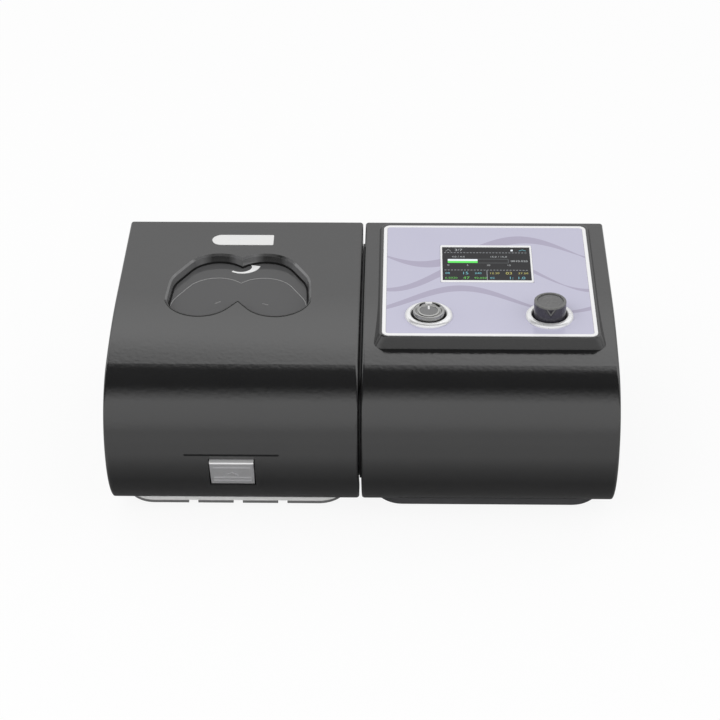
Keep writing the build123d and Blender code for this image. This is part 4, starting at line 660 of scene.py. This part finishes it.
def rim_points(node, keep):
    """Points along the longest chain of a node's edges that pass a test."""
    shape = bmesh.new()
    shape.from_mesh(nodes[node].data)
    bmesh.ops.remove_doubles(shape, verts=shape.verts, dist=0.002 * MM)
    shape.edges.index_update()
    chosen = [e for e in shape.edges if len(e.link_faces) == 2 and keep(e)]
    free = {e.index for e in chosen}
    best = []
    for edge in chosen:
        if edge.index not in free:
            continue
        free.discard(edge.index)
        chain = [edge.verts[0], edge.verts[1]]
        for _ in range(2):
            chain.reverse()
            step = True
            while step:
                step = next((e for e in chain[-1].link_edges if e.index in free), None)
                if step:
                    free.discard(step.index)
                    chain.append(step.other_vert(chain[-1]))
        if len(chain) > len(best):
            best = [v.co.copy() for v in chain]
    shape.free()
    return best


def inside_outline(point, outline, margin):
    """Whether a point lies within an outline in plan, with a margin to either side."""
    for side in (-margin, margin):
        x, y = point.x + side, point.y
        crossings = 0
        for k, first in enumerate(outline):
            second = outline[k - 1]
            if (first.y > y) != (second.y > y):
                share = (y - first.y) / (second.y - first.y)
                crossings += x < first.x + share * (second.x - first.x)
        if crossings % 2 == 0:
            return False
    return True


def bead(name, points, radius, body, material, cyclic=False):
    """A thin round bead along points."""
    curve = bpy.data.curves.new(name, "CURVE")
    curve.dimensions = "3D"
    curve.bevel_depth = radius
    curve.bevel_resolution = 2
    spline = curve.splines.new("POLY")
    spline.points.add(len(points) - 1)
    for spot, point in zip(spline.points, points):
        spot.co = (*point, 1)
    spline.use_cyclic_u = cyclic
    finish_piece(mesh_of(name, curve), name, body, material)


def make_window_trim():
    """Dark beads of painted shade for the shadow gaps at the window's foot and at its front, and
    what shows through it.
    """
    low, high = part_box("cover_window")
    middle = (low + high) / 2
    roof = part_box("humidifier_cover")[1].z

    # The lowest edge of the well's wall, which leans back a little
    def at_foot(edge):
        level = all(abs(v.co.z - high.z) < EDGE_SLACK for v in edge.verts)
        near = all(
            low[axis] - MM < v.co[axis] < high[axis] + MM for v in edge.verts for axis in (0, 1)
        )
        return level and near and any(0.05 < face.normal.z < 0.6 for face in edge.link_faces)

    # The crease where the roof turns down into the well, in front of the window
    def at_front(edge):
        tilts = sorted(face.normal.z for face in edge.link_faces)
        near = all(
            v.co.z > roof - 4 * MM
            and low.x - 6 * MM < v.co.x < high.x + 6 * MM
            and low.y - 8 * MM < v.co.y < middle.y - 20 * MM
            for v in edge.verts
        )
        return near and tilts[1] > 0.95 and tilts[0] < 0.85

    # Painted shade: a dark bead in the shadow gap at the wall's foot
    rubber = moulded("window_foot_shadow_dark", (0.008, 0.008, 0.008), 0.6, 2200, 0.02, 0.1)
    set_plain(rubber, "Specular IOR Level", 0.1)
    foot = rim_points("humidifier_cover", at_foot)
    raised = [point + Vector((0, 0, FOOT_SHADOW_LIFT)) for point in foot]
    bead("window_foot_shadow", raised, FOOT_SHADOW_RADIUS, "cover", rubber, True)
    # Painted shade: a dark bead in the shadow gap along the front edge
    front = rim_points("humidifier_cover", at_front)
    edge = moulded("window_front_shadow_dark", (0.03, 0.03, 0.03), 0.5, 2200, 0.02, 0.1)
    bead("window_front_shadow", front, FRONT_LINE_RADIUS, "cover", edge)
    make_ridge(foot, middle)
    make_notch_glare(middle.x, high.z)


def make_ridge(foot, middle):
    """Thin pale lines on the window: painted highlights where the tub's lobed ridge catches the
    light.
    """
    pale = moulded("ridge_painted_highlight", (0.40, 0.40, 0.40), 0.3, 900, 0.004, 0.03)
    count = len(foot)
    moved = [point + Vector((0, RIDGE_BEHIND, RIDGE_LIFT)) for point in foot]
    kept = [inside_outline(point, foot, RIDGE_MARGIN) for point in moved]
    first = next(k for k in range(count) if kept[k] and not kept[k - 1])
    ridge = []
    while kept[(first + len(ridge)) % count] and len(ridge) < count:
        ridge.append(moved[(first + len(ridge)) % count])
    bead("window_ridge", ridge, RIDGE_RADIUS, "cover", pale)
    for name, left, right in GLINTS:
        glint = [
            point + Vector((0, RIDGE_BEFORE, RIDGE_LIFT)) for point in foot
            if point.y < middle.y and left < point.x - middle.x < right
        ]
        glint.sort(key=lambda point: point.x)
        bead("window_ridge_" + name, glint, RIDGE_RADIUS, "cover", pale)


def make_notch_glare(middle_x, window_z):
    """A white crescent of painted glare in the notch behind the window, thicker to the right."""
    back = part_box("humidifier_cover")[1].y
    white = moulded("notch_painted_glare", (0.90, 0.90, 0.90), 0.2, 900, 0.004, 0.02)
    centre = Vector((middle_x, back - GLARE_BEHIND))
    outer, inner = [], []
    for k in range(GLARE_STEPS + 1):
        share = k / GLARE_STEPS
        turn = math.radians(GLARE_START + GLARE_SWEEP * share)
        thick = GLARE_THIN + GLARE_GROWTH * share * share
        aim = Vector((math.cos(turn), math.sin(turn)))
        outer.append(centre + GLARE_RADIUS * aim)
        inner.append(centre + (GLARE_RADIUS - thick) * aim)
    mesh = plate(
        "window_notch_glare", outer + inner[::-1], window_z - 0.05 * MM, window_z + 0.25 * MM
    )
    finish_piece(mesh, "window_notch_glare", "cover", white)


def press_springs():
    """Give each of the springs a mesh of its own."""
    spring = nodes["start_button_spring"]
    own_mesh(spring)
    spring = nodes["button_springs"]
    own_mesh(spring)


# ---------------------------------------------------------------- screen
SCREEN_LIFT = 0.02 * MM
SCREEN_MARGIN = 1.1 * MM
WAVE_HALF = 0.22 * MM
WAVE_STEPS = 24
DASHES = 26


def screen_point(share_x, share_y):
    """A place on the lit screen, by its share from the left and from the top."""
    low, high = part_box("display_module")
    return Vector((
        low.x + SCREEN_MARGIN + share_x * (high.x - low.x - 2 * SCREEN_MARGIN),
        high.y - SCREEN_MARGIN - share_y * (high.y - low.y - 2 * SCREEN_MARGIN),
        high.z,
    ))


def screen_bar(name, left, right, top, bottom, material):
    """A lit rectangle on the screen, between shares of its width and height."""
    start, end = screen_point(left, bottom), screen_point(right, top)
    outline = [(start.x, start.y), (end.x, start.y), (end.x, end.y), (start.x, end.y)]
    mesh = plate(name, outline, start.z - SCREEN_LIFT, start.z + SCREEN_LIFT)
    finish_piece(mesh, name, "main_unit", material)


def screen_dashes(name, left, right, share_y, material):
    """A dashed line across the screen, as one piece."""
    shape = bmesh.new()
    step = (right - left) / DASHES
    for k in range(DASHES):
        start = screen_point(left + k * step, share_y + 0.006)
        end = screen_point(left + (k + 0.6) * step, share_y - 0.006)
        corners = [(start.x, start.y), (end.x, start.y), (end.x, end.y), (start.x, end.y)]
        shape.faces.new([shape.verts.new((x, y, start.z + SCREEN_LIFT)) for x, y in corners])
    finish_piece(mesh_from(shape, name), name, "main_unit", material)


def screen_number(name, words, share_x, share_y, height, material):
    """Digits on the screen, centred on a place."""
    curve = bpy.data.curves.new(name, "FONT")
    curve.body = words
    curve.size = height
    curve.align_x = "CENTER"
    curve.align_y = "CENTER"
    mesh = mesh_of(name, curve)
    spot = screen_point(share_x, share_y)
    mesh.transform(Matrix.Translation((spot.x, spot.y, spot.z + SCREEN_LIFT)))
    finish_piece(mesh, name, "main_unit", material)


def screen_wave(name, left, right, share_y, swing, material):
    """A small breathing curve, as a ribbon."""
    shape = bmesh.new()
    upper, lower = [], []
    for k in range(WAVE_STEPS + 1):
        share = k / WAVE_STEPS
        spot = screen_point(left + share * (right - left), share_y)
        crest = spot.y + swing * math.exp(-((share - 0.5) / 0.22) ** 2)
        for row, side in ((upper, 1), (lower, -1)):
            row.append(shape.verts.new((spot.x, crest + side * WAVE_HALF, spot.z + SCREEN_LIFT)))
    for k in range(WAVE_STEPS):
        shape.faces.new([lower[k], lower[k + 1], upper[k + 1], upper[k]])
    finish_piece(mesh_from(shape, name), name, "main_unit", material)


def make_screen():
    """Readings in numbers, a level bar with its scale, and small icons."""
    white = glowing("screen_white", (0.80, 0.86, 0.90))
    pale = glowing("screen_pale", (0.42, 0.44, 0.45))
    grey = glowing("screen_grey", (0.06, 0.065, 0.07))
    line = glowing("screen_line", (0.34, 0.36, 0.38))
    lime = glowing("screen_lime", (0.10, 0.76, 0.10))
    green = glowing("screen_green", (0.12, 0.50, 0.08))
    cyan = glowing("screen_cyan", (0.16, 0.48, 0.55))
    yellow = glowing("screen_yellow", (0.48, 0.44, 0.12))
    screen_wave("icon_breath", 0.035, 0.10, 0.12, 2.6 * MM, pale)
    screen_number("screen_number_mode", "3/7", 0.185, 0.085, 4.2 * MM, pale)
    screen_bar("icon_level", 0.785, 0.81, 0.065, 0.115, white)
    screen_wave("icon_air", 0.88, 0.96, 0.10, 1.2 * MM, cyan)
    screen_dashes("screen_dashes_top", 0.02, 0.98, 0.165, line)
    screen_number("screen_number_low", "4.0 / 4.0", 0.18, 0.29, 2.6 * MM, pale)
    screen_number("screen_number_high", "15.0 / 15.0", 0.64, 0.29, 2.6 * MM, pale)
    screen_bar("level_fill_top", 0.06, 0.40, 0.36, 0.415, white)
    screen_bar("level_fill_bottom", 0.06, 0.40, 0.415, 0.475, lime)
    screen_bar("level_rest_top", 0.405, 0.75, 0.352, 0.368, grey)
    screen_bar("level_rest_low", 0.405, 0.75, 0.467, 0.483, grey)
    screen_bar("level_rest_end", 0.746, 0.756, 0.368, 0.467, grey)
    screen_number("screen_number_set", "0010.020", 0.875, 0.42, 3.0 * MM, pale)
    for words, share_x in (("0", 0.065), ("5", 0.285), ("10", 0.52), ("15", 0.755)):
        screen_number("screen_scale_" + words, words, share_x, 0.545, 2.6 * MM, pale)
    screen_dashes("screen_dashes_low", 0.02, 0.98, 0.69, line)
    screen_bar("screen_divider", 0.498, 0.504, 0.70, 0.99, line)
    rows = (
        ("a", 0.785, cyan, ((0.055, "08"), (0.255, "15"), (0.40, "240"))),
        ("b", 0.925, green, ((0.095, "6.5020"), (0.265, "47"), (0.425, "92.050"))),
        ("c", 0.785, yellow, ((0.585, "12.20"), (0.75, "03"), (0.91, "37.50"))),
        ("d", 0.925, cyan, ((0.56, "02"), (0.77, "1:"), (0.885, "1.0"))),
    )
    for row, share_y, material, readings in rows:
        for k, (share_x, words) in enumerate(readings):
            height = 4.4 * MM if k == 1 or row == "d" and k == 2 else 3.0 * MM
            name = "screen_reading_%s%d" % (row, k)
            screen_number(name, words, share_x, share_y, height, material)


# ---------------------------------------------------------------- studio
FLOOR_REACH = 6.0
FLOOR_WHITE = 0.9
SHADE_REACH = 0.2
STUDIO_PEAK = 2.0
SOFT_LEVEL = 0.75
# Level of the floor's reflection, by the distance from the object in metres
FLOOR_STOPS = (
    (0.0, 0.11), (0.012, 0.19), (0.025, 0.27), (0.05, 0.46), (0.072, 0.59), (SHADE_REACH, 0.66),
)
# Level of the studio by the angle from overhead, in degrees: behind is negative, in front positive
REAR_STOPS = (
    (-180, 0.35), (-100, 0.6), (-64, 0.78), (-58, 0.98), (-46, 1.32), (-36, 1.47),
    (-27.5, 1.08), (-21.5, 0.42), (-17.5, 0.04),
)
FRONT_STOPS = (
    (14, 0.0), (20, 0.1), (32, 0.69), (40, 1.04), (62, 0.99), (75, 0.93), (92, 0.66), (104, 0.6),
)
ASKEW_FROM, ASKEW_TO = -46, -4
ASKEW_FADE = 6.0
ASKEW_TURN = 34


def set_ramp(node, stops, whole=1.0):
    """Grey stops of a colour ramp, each a place and a level."""
    elements = node.color_ramp.elements
    for k, (spot, level) in enumerate(stops):
        element = elements[k] if k < 2 else elements.new(spot / whole)
        element.position = spot / whole
        element.color = (level, level, level, 1)


def make_floor():
    """A plain pale floor that keeps the object's shadow."""
    shape = bmesh.new()
    corners = ((-1, -1), (1, -1), (1, 1), (-1, 1))
    shape.faces.new([shape.verts.new((x * FLOOR_REACH, y * FLOOR_REACH, 0)) for x, y in corners])
    mesh = mesh_from(shape, "floor")
    floor = bpy.data.objects.new("floor", mesh)
    bpy.context.scene.collection.objects.link(floor)
    material, tree, shader = start_material("floor")
    mist = noise(tree, 3, 1.0)
    tone = mix_colour(tree, mist, (0.92, 0.92, 0.92, 1), (0.94, 0.94, 0.94, 1))
    tree.links.new(tone, shader.inputs["Base Color"])
    shader.inputs["Roughness"].default_value = 0.9
    shader.inputs["Specular IOR Level"].default_value = 0.0
    # To the camera the floor is mostly plain white, and keeps a light shadow
    ray = add_node(tree, "ShaderNodeLightPath").outputs
    seen = math_node(tree, "MAXIMUM", ray["Is Camera Ray"], ray["Is Transmission Ray"])
    share = product(tree, seen, FLOOR_WHITE)
    white = add_node(tree, "ShaderNodeEmission", {"Color": (1, 1, 1, 1), "Strength": 1.0})
    direct = add_node(
        tree, "ShaderNodeMixShader", {0: share, 1: shader.outputs[0], 2: white.outputs[0]}
    )
    # In reflections it darkens towards the object's foot, as under a high lamp
    split = split_vector(tree, place(tree))
    gaps = []
    for axis in (0, 1):
        middle = (cad_low[axis] + cad_high[axis]) / 2
        half = (cad_high[axis] - cad_low[axis]) / 2
        beyond = math_node(tree, "SUBTRACT", distance_from(tree, split[axis], middle), half)
        gap = math_node(tree, "MAXIMUM", beyond, 0.0)
        gaps.append(product(tree, gap, gap))
    reach = math_node(tree, "SQRT", math_node(tree, "ADD", gaps[0], gaps[1]))
    near = add_node(tree, "ShaderNodeValToRGB", {0: product(tree, reach, 1 / SHADE_REACH)})
    set_ramp(near, FLOOR_STOPS, SHADE_REACH)
    shade = add_node(tree, "ShaderNodeEmission", {"Color": near.outputs[0], "Strength": 1.0})
    whole = add_node(
        tree, "ShaderNodeMixShader",
        {0: ray["Is Glossy Ray"], 1: direct.outputs[0], 2: shade.outputs[0]},
    )
    tree.links.new(whole.outputs[0], tree.nodes["Material Output"].inputs["Surface"])
    mesh.materials.append(material)


def make_world():
    """White to the camera; to glossy rays a studio with softboxes and a dark gap overhead."""
    world = bpy.data.worlds.new("studio")
    world.use_nodes = True
    bpy.context.scene.world = world
    tree = world.node_tree
    tree.nodes.clear()
    ray = add_node(tree, "ShaderNodeLightPath").outputs
    heading = add_node(tree, "ShaderNodeTexCoord").outputs["Generated"]
    split = split_vector(tree, heading)
    level = math_node(tree, "ARCTAN2", product(tree, split[1], -1.0), split[2])
    # The rear softbox hangs a little askew, so its front edge falls lower to the right
    start, end = ASKEW_FADE * math.radians(ASKEW_FROM), ASKEW_FADE * math.radians(ASKEW_TO)
    rise = math_node(tree, "MULTIPLY_ADD", level, ASKEW_FADE, -start, True)
    fall = math_node(tree, "MULTIPLY_ADD", level, -ASKEW_FADE, end, True)
    askew = product(tree, product(tree, rise, fall), split[0])
    turn = math_node(tree, "MULTIPLY_ADD", askew, -math.radians(ASKEW_TURN), level)
    share = math_node(tree, "MULTIPLY_ADD", turn, 0.5 / math.pi, 0.5)
    bands = add_node(tree, "ShaderNodeValToRGB", {0: share})
    stops = REAR_STOPS + FRONT_STOPS
    set_ramp(bands, [(0.5 + degrees / 360, bright / STUDIO_PEAK) for degrees, bright in stops])
    soft = add_node(tree, "ShaderNodeBackground", {"Color": (1, 1, 1, 1), "Strength": SOFT_LEVEL})
    plain = add_node(tree, "ShaderNodeBackground", {"Color": (1, 1, 1, 1), "Strength": 1.0})
    studio = add_node(
        tree, "ShaderNodeBackground", {"Color": bands.outputs[0], "Strength": STUDIO_PEAK}
    )
    glossy = add_node(
        tree, "ShaderNodeMixShader",
        {0: ray["Is Glossy Ray"], 1: soft.outputs[0], 2: studio.outputs[0]},
    )
    direct = math_node(tree, "MAXIMUM", ray["Is Camera Ray"], ray["Is Transmission Ray"])
    whole = add_node(
        tree, "ShaderNodeMixShader", {0: direct, 1: glossy.outputs[0], 2: plain.outputs[0]}
    )
    add_node(tree, "ShaderNodeOutputWorld", {0: whole.outputs[0]})


def make_lamp(name, place_at, target, size, watts):
    """A large soft lamp that aims at a point."""
    data = bpy.data.lights.new(name, "AREA")
    data.shape = "RECTANGLE"
    data.size = size[0]
    data.size_y = size[1]
    data.energy = watts
    lamp = bpy.data.objects.new(name, data)
    lamp.location = place_at
    lamp.rotation_mode = "QUATERNION"
    lamp.rotation_quaternion = (Vector(target) - Vector(place_at)).to_track_quat("-Z", "Y")
    lamp.visible_glossy = False
    bpy.context.scene.collection.objects.link(lamp)


def make_studio():
    """The floor, the world and two large lamps."""
    make_floor()
    make_world()
    make_lamp("key", (-0.9, -0.8, 1.6), (0, 0, 0.05), (1.2, 1.2), 9)
    make_lamp("fill", (1.2, -0.9, 1.0), (0, 0, 0.05), (1.0, 1.0), 3)


make_camera()
make_materials()
make_start_cap()
make_knob_pointer()
make_window_trim()
press_springs()
make_screen()
make_studio()
view = bpy.context.scene.view_settings
view.view_transform = "Standard"
